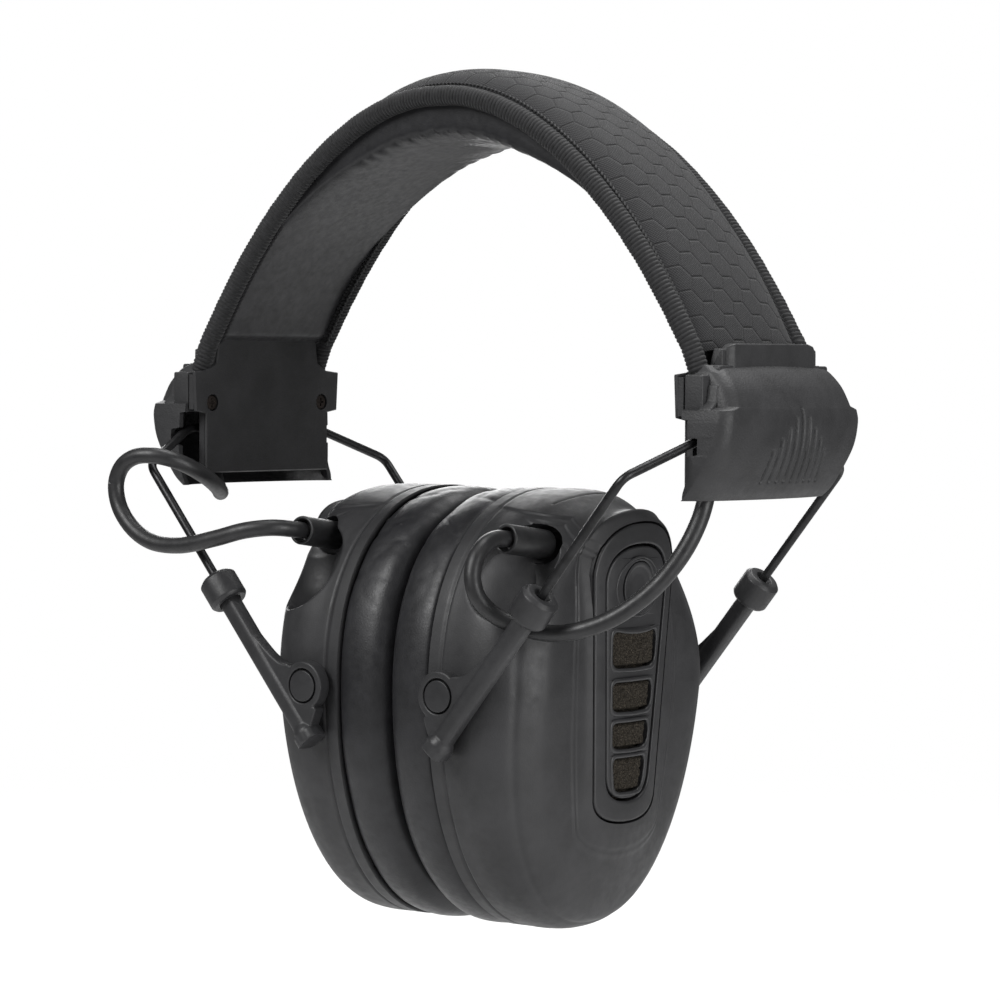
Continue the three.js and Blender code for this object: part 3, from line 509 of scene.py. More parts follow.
# ---------------------------------------------------------------- cables

CABLE_RADIUS = 2
CABLE_STEP = 0.6

RIGHT_CABLE = [
    (31.2, -34.4, -93.4), (30.9, -38, -93.2), (30.9, -42, -94.3), (30.9, -45.5, -97.2),
    (31.2, -47.3, -101.6), (32.5, -46.9, -106.3), (35.6, -44.3, -110.4), (40.7, -41, -113),
    (47.4, -39.4, -114.1), (54, -38.6, -113.4), (60.5, -35.8, -111), (66.1, -32.4, -107),
    (71, -29, -101.6), (74.9, -25.6, -94.8), (77.1, -22.6, -87.4), (77.9, -20.4, -80),
]

LEFT_CABLE = [
    (-31.2, -34.4, -93.4), (-31.3, -38.3, -92.9), (-33.6, -43, -92.5), (-38.8, -46.8, -93.2),
    (-47, -49, -95.4), (-57, -50.3, -97.3), (-66.2, -50.8, -96.6), (-73, -50.7, -93),
    (-77.2, -50.5, -87.9), (-78.3, -50.3, -82.6), (-76.4, -50.1, -78.4), (-72.6, -49.6, -76.1),
    (-68, -48.3, -75.7), (-64, -45.3, -76.7), (-61.9, -40.6, -78.8), (-62, -35, -81.3),
    (-63.9, -29.4, -83.6), (-67.3, -24.3, -85.1), (-71.5, -20, -85.1), (-75.3, -17, -83),
    (-77.9, -15.5, -79.3), (-78.9, -15, -75),
]

# Each cable's route, and the shares of its length where one stretch ends and the next begins. The middle
# stretch lies where the cable runs across the slide of the arms.
CABLES = {"right": (RIGHT_CABLE, (0, 0.333, 0.667, 1)), "left": (LEFT_CABLE, (0, 0.24, 0.5, 1))}


def add_cable(side):
    """Three stretches of the cable along its route, from the cup to the headband."""
    route, breaks = CABLES[side]
    line = spline(route, 16)
    length = np.sum(np.linalg.norm(np.diff(line, axis=0), axis=1))
    count = int(length / CABLE_STEP)
    line = resampled(line, count + 1)
    for k, (low, high) in enumerate(zip(breaks, breaks[1:])):
        part = line[round(low * count):round(high * count) + 1]
        cable = as_object(f"{side}_cable_stretch_{k + 1}", tube(part, CABLE_RADIUS))
        finished(cable, "cable_rubber", [f"{side}_cable"])
        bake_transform(cable)


# ---------------------------------------------------------------- headband

# u runs along the band, from 0 at a housing to 1 at the apex.
# A depth is measured inwards from the band's outer line.
COVER_HALF_WIDTH = 20.6
PAD_HALF_WIDTH = 20.8
PIPING_Y = 22
PIPING_RADIUS = 2.45
COVER_END = 0.055
PAD_END = 0.07
PIPING_END = 0.01
SPRING_ROOM = 1.2
RIB_PITCH = 1.05
STITCH_PITCH = 1.25
BAND_SAMPLES = 2001


def band_curve():
    """Half of the band's outer line as [x, z], a cubic curve from a housing to the apex."""
    a, b, c, d = np.array([(79, -55), (67, -22), (36, 18.4), (0, 18.4)], float)
    t = np.linspace(0, 1, BAND_SAMPLES)[:, None]
    return (1 - t) ** 3 * a + 3 * t * (1 - t) ** 2 * b + 3 * t ** 2 * (1 - t) * c + t ** 3 * d


BAND_LENGTH = np.sum(np.linalg.norm(np.diff(band_curve(), axis=0), axis=1))
BAND_LINE = resampled(band_curve(), BAND_SAMPLES)
BAND_TANGENT = np.gradient(BAND_LINE, axis=0)
BAND_TANGENT /= np.linalg.norm(BAND_TANGENT, axis=1)[:, None]


def swell(u):
    return np.maximum(0, (u - 0.08) / 0.92) ** 0.7


def cover_depth(u):
    return 0.6 + 3.4 * swell(u)


def piping_depth(u):
    return 2.6 + 5 * swell(u)


def cover_top_depth(u, y):
    """The cloth is level along the middle of the band and wraps down to the pipings."""
    share = np.minimum(np.abs(y) / COVER_HALF_WIDTH, 1) * 0.985
    return (piping_depth(u) + 1.2) * (1 - (1 - share ** 3) ** 0.45)


def pad_depth(u):
    return 4.4 + 14 * smoothstep(u, 0.12, 0.95)


def band_stations(start, count):
    """u, side and arc length from the right end over the apex to the left end."""
    share = np.linspace(-(1 - start), 1 - start, count)
    return 1 - np.abs(share), np.where(share < 0, 1.0, -1.0), share * BAND_LENGTH


def band_point(u, depth, half, y):
    at = u * (len(BAND_LINE) - 1)
    index = np.arange(len(BAND_LINE))
    x, z = (np.interp(at, index, BAND_LINE[:, k]) for k in (0, 1))
    tx, tz = (np.interp(at, index, BAND_TANGENT[:, k]) for k in (0, 1))
    return in_space(half * (x - tz * depth), y, z + tx * depth)


def hexagons(s, y, size):
    """Distance in mm to the nearest edge of a hexagon pattern of that size across its flats."""
    cell = np.array([size, size * math.sqrt(3)])
    p = np.stack(np.broadcast_arrays(s, y), axis=-1)
    first = np.mod(p, cell) - cell / 2
    second = np.mod(p - cell / 2, cell) - cell / 2
    nearest = np.where(np.sum(first ** 2, -1, keepdims=True) < np.sum(second ** 2, -1, keepdims=True),
                       first, second)
    a = np.abs(nearest)
    return size / 2 - np.maximum(a[..., 0], a[..., 0] / 2 + a[..., 1] * math.sqrt(3) / 2)


def add_cover():
    rows, columns = 900, 150
    u, half, s = (v[:, None] for v in band_stations(COVER_END, rows))
    y = np.linspace(-COVER_HALF_WIDTH, COVER_HALF_WIDTH, columns)[None, :]
    lines = bell(hexagons(s, y, HEX_SIZE), 0.28) * smoothstep(16.5 - np.abs(y))
    puff = 0.12 * noise(in_space(s, y, 0), 17) + 0.04 * noise(in_space(s, y, 5), 6)
    top = band_point(u, cover_top_depth(u, y) + 0.1 * lines + puff, half, y)
    under_y = np.linspace(COVER_HALF_WIDTH, -COVER_HALF_WIDTH, 40)[None, :]
    bottom = np.maximum(cover_depth(u) + 0.3, cover_top_depth(u, under_y) + 0.8)
    under = band_point(u, bottom, half, under_y)
    cloth = np.concatenate([in_space(s, y, 0), in_space(s, under_y, 0)], axis=1)
    cover = as_object("band_cover_cloth", skin(np.concatenate([top, under], axis=1)), 60, cloth)
    finished(cover, "woven_cover", ["band_cover"], "headband")


def add_crown_pad():
    rows, columns = 560, 84
    u, half, s = (v[:, None] for v in band_stations(PAD_END, rows))
    turn = np.linspace(-np.pi / 2, np.pi / 2, columns)[None, :]
    y = PAD_HALF_WIDTH * np.sin(turn) * (1 + 0 * u)
    top = cover_depth(u) + SPRING_ROOM
    belly = 0.4 + (pad_depth(u) - top - 0.4) * smoothstep(u, 0.075, 0.11)
    share = 0.6 + 0.4 * np.maximum(np.cos(turn), 0) ** 0.45
    spot = in_space(s, y, 0)
    creases = (1 - np.abs(noise(in_space(s, y * 0.35, 3), 8))) ** 6
    near_top = smoothstep(u, 0.5, 0.95)
    soft = 0.3 * noise(spot, 18) + 0.08 * noise(spot, 6) - 0.38 * creases * near_top
    gathers = np.sin(s * 1.15 + 2.2 * noise(spot, 9))
    gathered = 0.2 * smoothstep(np.abs(y), 12, 19) * gathers * near_top
    depth = top + belly * share + (soft + gathered) * share * smoothstep(u, 0.1, 0.25)
    lower = band_point(u, depth, half, y)
    flat_y = np.linspace(PAD_HALF_WIDTH, -PAD_HALF_WIDTH, 16)[None, :]
    upper = band_point(u, top + 0 * flat_y, half, flat_y)
    shape = skin(np.concatenate([lower, upper], axis=1))
    pad = add_piece("crown_pad_leather", shape, 50, "leatherette", "crown_pad", "headband")


def add_piping(end, y):
    rows, sides = 2100, 26
    u, half, s = band_stations(PIPING_END, rows)
    path = band_point(u, piping_depth(u), half, np.full(rows, -float(PIPING_Y)))
    turn = np.linspace(0, 2 * np.pi, sides, endpoint=False)[None, :]
    phase = (s[:, None] + 0.35 * np.sin(turn)) / RIB_PITCH
    rib = np.abs(np.sin(np.pi * phase)) ** 0.7
    wave = 0.06 * noise(in_space(s[:, None], turn, 0), 2.3)
    shape = tube(path, PIPING_RADIUS - 0.3 + 0.3 * rib + wave, sides)
    add_piece(f"{end}_piping_cord", shape, 70, "ribbed_piping", f"{end}_piping", "headband", y=y)


def add_stitches(end, mirror_y):
    """Two rows of overlock stitches beside a piping: one on the cover, one on the crown pad."""
    capsule = rounded([(0.01, -0.85), (0.28, -0.75), (0.33, 0), (0.28, 0.75), (0.01, 0.85)], 0.1, 2)
    count = int(2 * BAND_LENGTH * (1 - PAD_END) / STITCH_PITCH)
    u, half, _ = band_stations(PAD_END + 0.02, count)
    rows = [(19.5, cover_top_depth(u, 19.5) - 0.12, 0.8), (20.2, piping_depth(u) + 2.1, -0.6)]
    shapes = []
    for row_y, depth, slant in rows:
        places = band_point(u, depth, half, np.full(count, -row_y))
        for place, direction in zip(places, np.gradient(places, axis=0)):
            direction = direction / np.linalg.norm(direction) + (0, slant, 0)
            shapes.append(lathe(capsule, place, direction, 6))
    made = as_object(f"{end}_edge_stitches", mirrored(merged(shapes), y=mirror_y))
    finished(made, "ribbed_piping", [], "headband")


# ---------------------------------------------------------------- yoke housings

HOUSING_INNER_X = 75.7
# The side walls' inner edge, and the window in them that the fork wire folds out through.
WALL_X = 77.4
WINDOW_X = 80.2
WINDOW_Z = (-73.7, -69.1)
WINDOW_CORNER = 0.5
WALL = 2
EDGE_RADIUS = 3.2
TAB_BOTTOM_Z = -65.4
# Height, half width and reach in X of the shield.
SHIELD = np.array([
    (-83.6, 28.4, 83.4), (-81.6, 28.8, 85.3), (-77.4, 29, 87.5), (-72, 29, 89.4), (-66, 28.8, 90),
    (-63.2, 28.4, 89.6), (-62.4, 25.6, 89.3), (-58, 25, 87.2), (-54.6, 24.2, 84.2), (-53, 23, 81.8),
], float)
GROOVE_PITCH = 2.85
GROOVE_BOTTOM_Z = -79.2
GROOVE_TOPS_Z = [-63.2, -65.2, -67.7, -70.1, -72.7]
GROOVE_DEPTH = 0.95
GROOVE_HALF_WIDTH = 0.46


def shield_width(z):
    return np.interp(z, SHIELD[:, 0], SHIELD[:, 1])


def shield_reach(y, z):
    """X of the shield's outer face, with its crown and its rounded side edges."""
    fine = spline(SHIELD[:, [0, 2]], 8)
    crown = (2.2 + 2.2 * np.maximum(0, (-65 - z) / 18.6)) * (y / 28.8) ** 2
    low = smoothstep(-z, 69, 84)
    edge = np.clip(1 - (shield_width(z) - np.abs(y)) / (EDGE_RADIUS + 6 * low), 0, 1)
    drop = (EDGE_RADIUS + low) * (1 - np.sqrt(1 - 0.97 * edge ** 2))
    return np.interp(z, fine[:, 0], fine[:, 1]) - crown - drop


def groove_depth(y, z):
    """Nine grip grooves that stand in a triangle and lean a little towards the middle one."""
    depth = np.zeros(np.broadcast(y, z).shape)
    for k in range(-4, 5):
        start = np.array([k * GROOVE_PITCH, GROOVE_BOTTOM_Z])
        way = np.array([k * GROOVE_PITCH * 0.93, GROOVE_TOPS_Z[abs(k)]]) - start
        t = np.clip(((y - start[0]) * way[0] + (z - start[1]) * way[1]) / (way @ way), 0, 1)
        off = np.hypot(y - start[0] - t * way[0], z - start[1] - t * way[1])
        run_in = 0.35 + 0.65 * smoothstep(t, -0.1, 0.1)
        depth = np.maximum(depth, GROOVE_DEPTH * bell(off, GROOVE_HALF_WIDTH) * run_in)
    return depth


def shield_shape():
    """A curved shield whose side walls reach in towards the head and leave a window for the fork wire."""
    z = np.r_[np.linspace(SHIELD[0, 0], -63.25, 104), np.linspace(-63.15, -62.45, 6),
              np.linspace(-62.35, SHIELD[-1, 0], 50)][:, None]
    even, close = np.linspace(-1, 1, 240), np.sin(np.linspace(-np.pi / 2, np.pi / 2, 240))
    y = shield_width(z) * ((even + close) / 2)[None, :]
    outer = in_space(shield_reach(y, z) - groove_depth(y, z), y, z)
    low, high = WINDOW_Z
    open_share = smoothstep(z, low, low + WINDOW_CORNER) * (1 - smoothstep(z, high - WINDOW_CORNER, high))
    wall_x = np.where(z > TAB_BOTTOM_Z, HOUSING_INNER_X, WALL_X + (WINDOW_X - WALL_X) * open_share)
    wall_x = wall_x - 1.6 * smoothstep(-z, 78, 83.6)
    inner_y = (shield_width(z) - WALL) * np.linspace(1, -1, 60)[None, :]
    inner = in_space(np.maximum(shield_reach(inner_y, z) - WALL, wall_x + 0.4), inner_y, z)
    corner = {(sign, drop): in_space(wall_x, sign * (shield_width(z) - drop), z)
              for sign in (1, -1) for drop in (0.3, WALL - 0.3)}
    ring = [outer, corner[1, 0.3], corner[1, WALL - 0.3], inner, corner[-1, WALL - 0.3], corner[-1, 0.3]]
    return skin(np.concatenate(ring, axis=1))


def lip_shape():
    """The block above the shield, square at its front end and rounded off at its rear end."""
    stations = np.array([(-18.5, 80.4, -49.8), (-18, 81, -48.9), (-16.8, 82, -48.3), (-16, 82.1, -48.1),
                         (14, 82.1, -48), (16.2, 82, -48.5), (17.8, 81.6, -49.7), (18.8, 80.9, -51.6),
                         (19.2, 80.4, -54)])
    rings = []
    for y, reach, top in stations:
        line = rounded_loop([(79.3, -56), (reach, -56), (reach, top), (79.3, top)], 0.55, 4)
        rings.append(in_space(line[:, 0], y, line[:, 1]))
    return skin(rings)


def housing_shapes():
    """The shield, the lip, the roof between them, the neck behind the lip, two tabs and two steps."""
    side_view = lambda x, z, y: in_space(x, y, z)
    end_view = lambda y, z, x: in_space(x, y, z)
    roof = rounded_loop([(-22.6, -56.2), (-22.6, -53.1), (22.6, -53.1), (22.6, -56.2)], 0.8, 3)
    neck = rounded_loop([(76.4, -56), (80.6, -56), (80.6, -49.4), (78.2, -49.2)], 0.4, 3)
    tab = rounded_loop([(75.7, -65.2), (75.7, -55.2), (80.6, -55.2), (80.6, -65.2)], 0.6, 3)
    step = rounded_loop([(22.4, -56.5), (25.2, -57.5), (25.8, -61.2), (28, -62.9), (28, -65.3),
                         (22.4, -65.3)], 0.5, 3)
    shapes = [shield_shape(), lip_shape(), prism(roof, 79.4, 81.9, 0.3, end_view),
              prism(neck, -19.6, 19.6, 0.4, side_view)]
    for low, high in ((19.2, 27.3), (-27.3, -19.2)):
        shapes.append(prism(tab, low, high, 0.35, side_view))
    for sign in (1, -1):
        shapes.append(prism(step * (sign, 1), 79.9, 83.4, 0.4, end_view))
    return shapes


def add_housing(side, x):
    add_piece(f"{side}_yoke_cover_moulding", merged(housing_shapes()), 38, "housing_plastic",
              f"{side}_yoke_cover", "headband", x)


# ---------------------------------------------------------------- fork, arms, pivots

WIRE_BEND = np.array([71.7, -45.2, -78.1])
WIRE_BAR = np.array([78.6, -24, -69.5])
WIRE_LEAN = math.radians(39.3)
LEG_DOWN = np.array([-math.sin(WIRE_LEAN), 0, -math.cos(WIRE_LEAN)])
LEG_ACROSS = np.array([math.cos(WIRE_LEAN), 0, -math.sin(WIRE_LEAN)])
LEG_LENGTH = 53
WIRE_RADIUS = 1.1
PIVOT = np.array([20.6, 0, -129.6])
PIVOT_ALONG, PIVOT_ACROSS = 72.2, -6.95
LUG_HALF = 1.7
# Along a leg: where the stop collar starts, and where the arm starts and ends.
COLLAR_START, ARM_START, ARM_END = 34.8, 36.5, 83.7


def on_leg(across, along, y=0.0):
    """A point in an arm's own frame: across the leg, away from the cup, and down the leg from the bend."""
    across, along, y = (np.asarray(v, float)[..., None] for v in (across, along, y))
    return WIRE_BEND + across * LEG_ACROSS + along * LEG_DOWN + y * np.array([0, 1, 0])


def add_fork(side, x):
    front = [WIRE_BEND + LEG_DOWN * LEG_LENGTH, WIRE_BEND, WIRE_BAR]
    rear = [point * (1, -1, 1) for point in reversed(front)]
    path = resampled(rounded([*front, *rear], 2.6, 14), 420)
    squeeze = 1 - 0.05 * bell(np.linalg.norm(path - WIRE_BEND, axis=1), 3)
    add_piece(f"{side}_fork_steel_wire", tube(path, WIRE_RADIUS * squeeze), 35, "black_spring_steel",
              f"{side}_fork_wire", f"{side}_fork", x)


def arm_shapes():
    along = np.linspace(ARM_START, ARM_END, 150)
    turn = np.linspace(0, 2 * np.pi, 48, endpoint=False)
    cos, sin = (np.sign(v) * np.abs(v) ** (2 / 3.2) for v in (np.cos(turn), np.sin(turn)))
    flare = 0.85 * smoothstep(along, 79.5, 81.6)[:, None]
    barrel = skin(on_leg((2.35 + flare) * cos, along[:, None] + 0 * cos, (2.2 + flare * 1.1) * sin))
    lug_profile = rounded([(0.01, 0), (5.8, 0), (5.8, 2 * LUG_HALF), (4.15, 2 * LUG_HALF),
                           (4.15, 2 * LUG_HALF - 1.1), (0.01, 2 * LUG_HALF - 1.1)], 0.3, 3)
    lug = lathe(lug_profile, on_leg(PIVOT_ACROSS, PIVOT_ALONG, LUG_HALF), (0, -1, 0), 80)
    web_line = rounded_loop([(0.6, 50), (-1.9, 52), (-3.1, 59.5), (-4.5, 63.8), (-7.4, 66.5), (-4.1, 68),
                             (-2.4, 70.4), (-2.4, 74), (-4.1, 76.4), (-7.4, 78.6), (-5.2, 80), (-2.6, 81.4),
                             (0.6, 81.4)], 1.4, 4)
    web = prism(web_line, -LUG_HALF, LUG_HALF, 0.3, on_leg)
    foot = lathe(rounded([(0.01, 0), (3.3, 0), (3.3, 3), (2.4, 4.6), (0.01, 4.6)], 0.45, 4),
                 on_leg(0, ARM_END), -LEG_DOWN, 48)
    return [barrel, lug, web, foot]


def add_arm(side, x, end, y):
    shapes = [mirrored(shape, x=x, y=y) for shape in arm_shapes()]
    arm = moulded(f"{side}_{end}_arm_moulding", shapes, 0.2, 3)
    finished(arm, "arm_plastic", [f"{side}_{end}_arm"], f"{side}_arms")
    profile = rounded([(1.4, 0.9), (2.1, 0), (3.7, 0), (4.7, 0.95), (4.7, 6.7), (4.1, 7.5),
                       (2.8, 7.5), (2.8, 1.7), (1.4, 1.7), (1.4, 0.9)], 0.25, 3)
    add_piece(f"{side}_{end}_stop_collar", lathe(profile[:-1], on_leg(0, COLLAR_START), LEG_DOWN), 40,
              "arm_plastic", f"{side}_{end}_collar", f"{side}_arms", x, y)
    head_out = -WIRE_BEND[1] + LUG_HALF + 0.1
    profile = rounded([(0.01, 37.6), (3.2, 37.6), (3.2, 39.2), (2, 39.2), (2, head_out - 1),
                       (3.72, head_out - 1), (3.72, head_out), (0.01, head_out)], 0.22, 3)
    add_piece(f"{side}_{end}_pivot_stud", lathe(profile, PIVOT, (0, -1, 0)), 40,
              "panel_plastic", f"{side}_{end}_pivot_pin", f"{side}_arms", x, y)


# ---------------------------------------------------------------- ear cups

# X of the rim, of the start of the rounding and of the face; half width, and reach above and below the pivot.
RIM_X, ROUND_START_X, FACE_X = 14, 27, 43.4
HALF_WIDTH, ABOVE, BELOW = 42, 47, 58.8
FACE_INSET = 26
RIM_WALL = 2.4
CUP_Z = PIVOT[2]
GROMMET_BASE = np.array([31.9, -22.5, -94.9])
GROMMET_END = np.array([31.2, -34.1, -93.4])
# The hollow round the cable's exit: a wide one below it and a small round one at the sleeve.
HOLLOWS = [((31.5, -34.5, -100.5), (11, 11.5, 12.5)), ((34.3, -27.8, -95.2), (6.3, 6.3, 6.3))]
HOLLOW_VIEW = np.array([34.5, -43.5, -97])
SLEEVE_RADIUS = 3.5
PANEL_X, PANEL_Z = 42.6, -125.8
PANEL_TILT = math.radians(3.6)
PANEL_SIZE = {"half": 35.75, "top": 15.8, "bottom": 12.2}
PANEL_TOP_CORNER, PANEL_BOTTOM_CORNER = 13, 6
PANEL_CURVE = 0.009
PANEL_THICKNESS, PANEL_MIDDLE = 1.8, -0.75
BEZEL_WIDTH = 3.4
BEZEL_END_EXTRA = 1.5
# Height of the middle over the panel's middle, height, width at the top and width at the bottom.
WINDOWS = [(5.8, 9, 17.6, 16.8), (-5.6, 7.1, 16, 15.1), (-14.9, 6.3, 14.6, 13.7), (-24.3, 8.2, 13.2, 10.8)]
BUTTON_Z = 20.5
BUTTON_RADIUS = 5.9


def cup_ring(x, inset, angles):
    s, c = np.sin(angles), np.cos(angles)
    power = 2 / 2.2
    y = (HALF_WIDTH - inset) * np.sign(c) * np.abs(c) ** power
    reach = np.where(s >= 0, ABOVE - inset * 0.36, BELOW - inset * 0.36)
    z = reach * np.sign(s) * np.abs(s) ** power
    slope = 0.13 * np.maximum(0, -z) * (x - RIM_X) / (FACE_X - RIM_X)
    return in_space(x - slope, y, CUP_Z + z)


def rim_ring(x, inset, angles):
    ring = cup_ring(RIM_X, 0, angles)
    z = ring[:, 2] - CUP_Z
    reach = np.where(z >= 0, ABOVE, BELOW)
    return in_space(x, ring[:, 1] * (1 - inset / HALF_WIDTH), CUP_Z + z * (1 - inset / reach))


def on_panel(across, up, out=0.0):
    """A point in the panel's own frame: across in Y, up along the panel, and out of its curved face."""
    out = out + 0.4 - PANEL_CURVE * np.asarray(across, float) ** 2
    x = PANEL_X + out * math.cos(PANEL_TILT) + up * math.sin(PANEL_TILT)
    return in_space(x, across, PANEL_Z + up * math.cos(PANEL_TILT) - out * math.sin(PANEL_TILT))


def quadratic(a, b, c, count):
    t = np.linspace(0, 1, count, endpoint=False)[:, None]
    return (1 - t) ** 2 * np.array(a) + 2 * t * (1 - t) * np.array(b) + t * t * np.array(c)


def panel_outline(inset, count, end_extra=0.0, corner=PANEL_TOP_CORNER):
    half, top, bottom = (PANEL_SIZE[key] - inset for key in ("half", "top", "bottom"))
    half -= end_extra
    shoulder, foot = half - corner, PANEL_BOTTOM_CORNER - half
    line = np.vstack([
        quadratic((top, shoulder), (top * 0.95, half), (0, half), 40),
        quadratic((0, half), (-top * 0.95, half), (-top, shoulder), 40),
        quadratic((-bottom, foot), (-bottom * 0.94, -half), (0, -half), 40),
        quadratic((0, -half), (bottom * 0.94, -half), (bottom, foot), 40),
        [(bottom, foot), (top, shoulder)],
    ])
    return resampled(line, count + 1)[:-1]


def panel_ring(inset, out, angles_of):
    """The panel's outline, with a point in the same direction from the cup's middle as each of angles_of."""
    line = panel_outline(inset, 1600)
    line[:, 1] += PANEL_Z - CUP_Z
    turn = np.arctan2(line[:, 1], line[:, 0])
    order = np.argsort(turn)
    reach = np.interp(angles_of, turn[order], np.hypot(*line.T)[order], period=2 * np.pi)
    return on_panel(reach * np.cos(angles_of), reach * np.sin(angles_of) - (PANEL_Z - CUP_Z), out)


def through_rings(rings, counts):
    """Rows of a smooth surface through control rings, with a number of rows between each two."""
    rings = np.asarray(rings)
    flat = rings.reshape(len(rings), -1)
    rows = []
    padded_rings = np.vstack([2 * flat[0] - flat[1], flat, 2 * flat[-1] - flat[-2]])
    spans = np.linalg.norm(np.diff(padded_rings, axis=0).reshape(len(rings) + 1, -1, 3), axis=2).mean(1)
    for k, count in enumerate(counts):
        a, b, c, d = padded_rings[k:k + 4]
        before, here, after = spans[k:k + 3]
        slope_b = ((b - a) / before * here + (c - b) / here * before) / (before + here) * here
        slope_c = ((c - b) / here * after + (d - c) / after * here) / (here + after) * here
        for t in np.linspace(0, 1, count, endpoint=False):
            rows.append((2 * t ** 3 - 3 * t ** 2 + 1) * b + (t ** 3 - 2 * t ** 2 + t) * slope_b
                        + (-2 * t ** 3 + 3 * t ** 2) * c + (t ** 3 - t ** 2) * slope_c)
    rows.append(flat[-1])
    return np.array(rows).reshape(len(rows), -1, 3)


def smooth_max(a, b, width):
    return np.maximum(a, b) + np.maximum(width - np.abs(a - b), 0) ** 2 / (4 * width)


def scooped(grid):
    """Presses the hollows for the cable's exit and the hole round its sleeve into the front of the cup."""
    away = grid - HOLLOW_VIEW
    reach = np.linalg.norm(away, axis=-1)
    ray = away / reach[..., None]
    pressed = reach
    for centre, radii in HOLLOWS:
        start, way = (HOLLOW_VIEW - centre) / radii, ray / radii
        a, b, c = np.sum(way ** 2, -1), np.sum(way * start, -1), start @ start - 1
        hit = b * b - a * c
        far_side = np.where(hit > 0, (-b + np.sqrt(np.maximum(hit, 0))) / a, 0)
        pressed = smooth_max(pressed, far_side, 1.1)
    hollow = HOLLOW_VIEW + ray * pressed[..., None]
    axis = (GROMMET_END - GROMMET_BASE) / np.linalg.norm(GROMMET_END - GROMMET_BASE)
    from_base = hollow - GROMMET_BASE
    along = from_base @ axis
    across = np.linalg.norm((from_base - along[..., None] * axis) * (0.84, 1, 1), axis=-1)
    pit = 6.5 * (1 - smoothstep(across, 4.1, 4.7)) * ((along > -5) & (along < 12))
    return hollow - pit[..., None] * axis


def normals_of(grid):
    around = np.roll(grid, -1, 1) - np.roll(grid, 1, 1)
    normal = np.cross(around, np.gradient(grid, axis=0))
    normal /= np.maximum(np.linalg.norm(normal, axis=-1, keepdims=True), 1e-9)
    outward = np.sum(normal * (grid - np.array([20, 0, CUP_Z])), -1).mean()
    return normal * np.sign(outward)


# Three nested steps on the upper front of the cup: inner end, corner and outer end, as [x, z].
CHEVRON_STEP = 0.36
CHEVRONS = [((25, -87.9), (36.3, -91.7), (41, -96.4)),
            ((27.5, -88.4), (36.8, -89.8), (41.2, -94.8)),
            ((15, -86.3), (37, -88.6), (42.5, -93.8))]


def segment_side(x, z, start, end):
    way = np.subtract(end, start)
    return ((x - start[0]) * way[1] - (z - start[1]) * way[0]) / np.hypot(*way)


def chevron_depth(grid):
    """Each step lowers the surface inside it, towards the hollow."""
    x, y, z = np.moveaxis(grid, -1, 0)
    depth = 0
    for start, corner, end in CHEVRONS:
        inside = np.minimum(segment_side(x, z, start, corner), segment_side(x, z, corner, end))
        fade_in = smoothstep(x, start[0], start[0] + 6)
        depth = depth + CHEVRON_STEP * smoothstep(inside, -0.22, 0.22) * fade_in
    return depth * smoothstep(-y, 12, 15) * smoothstep(z, -114, -100)


def cup_surface():
    """Rows of rings from the rim to the panel, with closer columns where the hollow is, and their angles."""
    columns = 520
    even = np.linspace(0, 2 * np.pi, 4000)
    closeness = np.cumsum(1 + 2.4 * bell(even - 2.35, 0.45))
    angles = np.interp(np.linspace(0, closeness[-1], columns, endpoint=False), closeness, even)
    arc = [(ROUND_START_X + (FACE_X - ROUND_START_X) * math.sin(a), FACE_INSET * (1 - math.cos(a)))
           for a in np.radians((18, 36, 53))]
    rings = [cup_ring(RIM_X, 0, angles), cup_ring(20, 0, angles), cup_ring(ROUND_START_X, 0, angles)]
    rings += [cup_ring(x, inset, angles) for x, inset in arc]
    outline = rings[-1]
    turn = np.arctan2(outline[:, 2] - CUP_Z, outline[:, 1])
    rings += [panel_ring(-2, 0.2, turn), panel_ring(-0.35, 0.35, turn)]
    return through_rings(rings, (16, 22, 26, 26, 26, 40, 10)), turn, angles


def cup_relief(grid, share):
    """Depth of the parting line, the top seam, the step round the panel, a soft fold and the chevrons."""
    x, y, z = np.moveaxis(grid, -1, 0)
    parting = 0.4 * bell(x - 17.6, 0.32)
    seam = 0.3 * bell(x - 33.5 + 0.01 * y ** 2, 0.3) * smoothstep(z, -92, -90) * smoothstep(17 - np.abs(y))
    outside_step = 0.4 * (1 - smoothstep(share, 0.85, 0.868)) * smoothstep(share, 0.3, 0.7)
    step_line = 0.22 * bell(share - 0.872, 0.006)
    fold = 0.2 * bell(share - 0.53, 0.03) * smoothstep(-z, 100, 112)
    return parting + seam + outside_step + step_line + fold + chevron_depth(grid)


def add_cup_shell(side, x):
    grid, turn, angles = cup_surface()
    share = np.linspace(0, 1, len(grid))[:, None]
    gx, gy, gz = np.moveaxis(grid, -1, 0)
    shoulder = smoothstep(gy, -4, 27) * smoothstep(gz, -128, -90) * smoothstep(gx, 15, 40)
    shoulder = shoulder * (1 - smoothstep(share, 0.9, 1))
    grid = grid - normals_of(grid) * cup_relief(grid, share)[..., None]
    grid = scooped(grid - shoulder[..., None] * (3.4, 1.2, 2.2))
    lip = [panel_ring(-0.35, out, turn) for out in (0.1, -1.2, -3.4)]
    inner = [cup_ring(px, inset, angles) for px, inset in ((36, 24), (33, 16), (28, 9), (23, 5))]
    inner += [cup_ring(RIM_X, RIM_WALL, angles)]
    front = [cup_ring(RIM_X - 0.25, 1.2, angles), cup_ring(RIM_X - 0.1, 0.3, angles)]
    shape = skin(np.concatenate([grid, np.array(lip + inner + front)]), loop=True)
    add_piece(f"{side}_cup_shell_moulding", shape, 42, "soft_touch_plastic", f"{side}_cup_shell",
              f"{side}_cup", x)


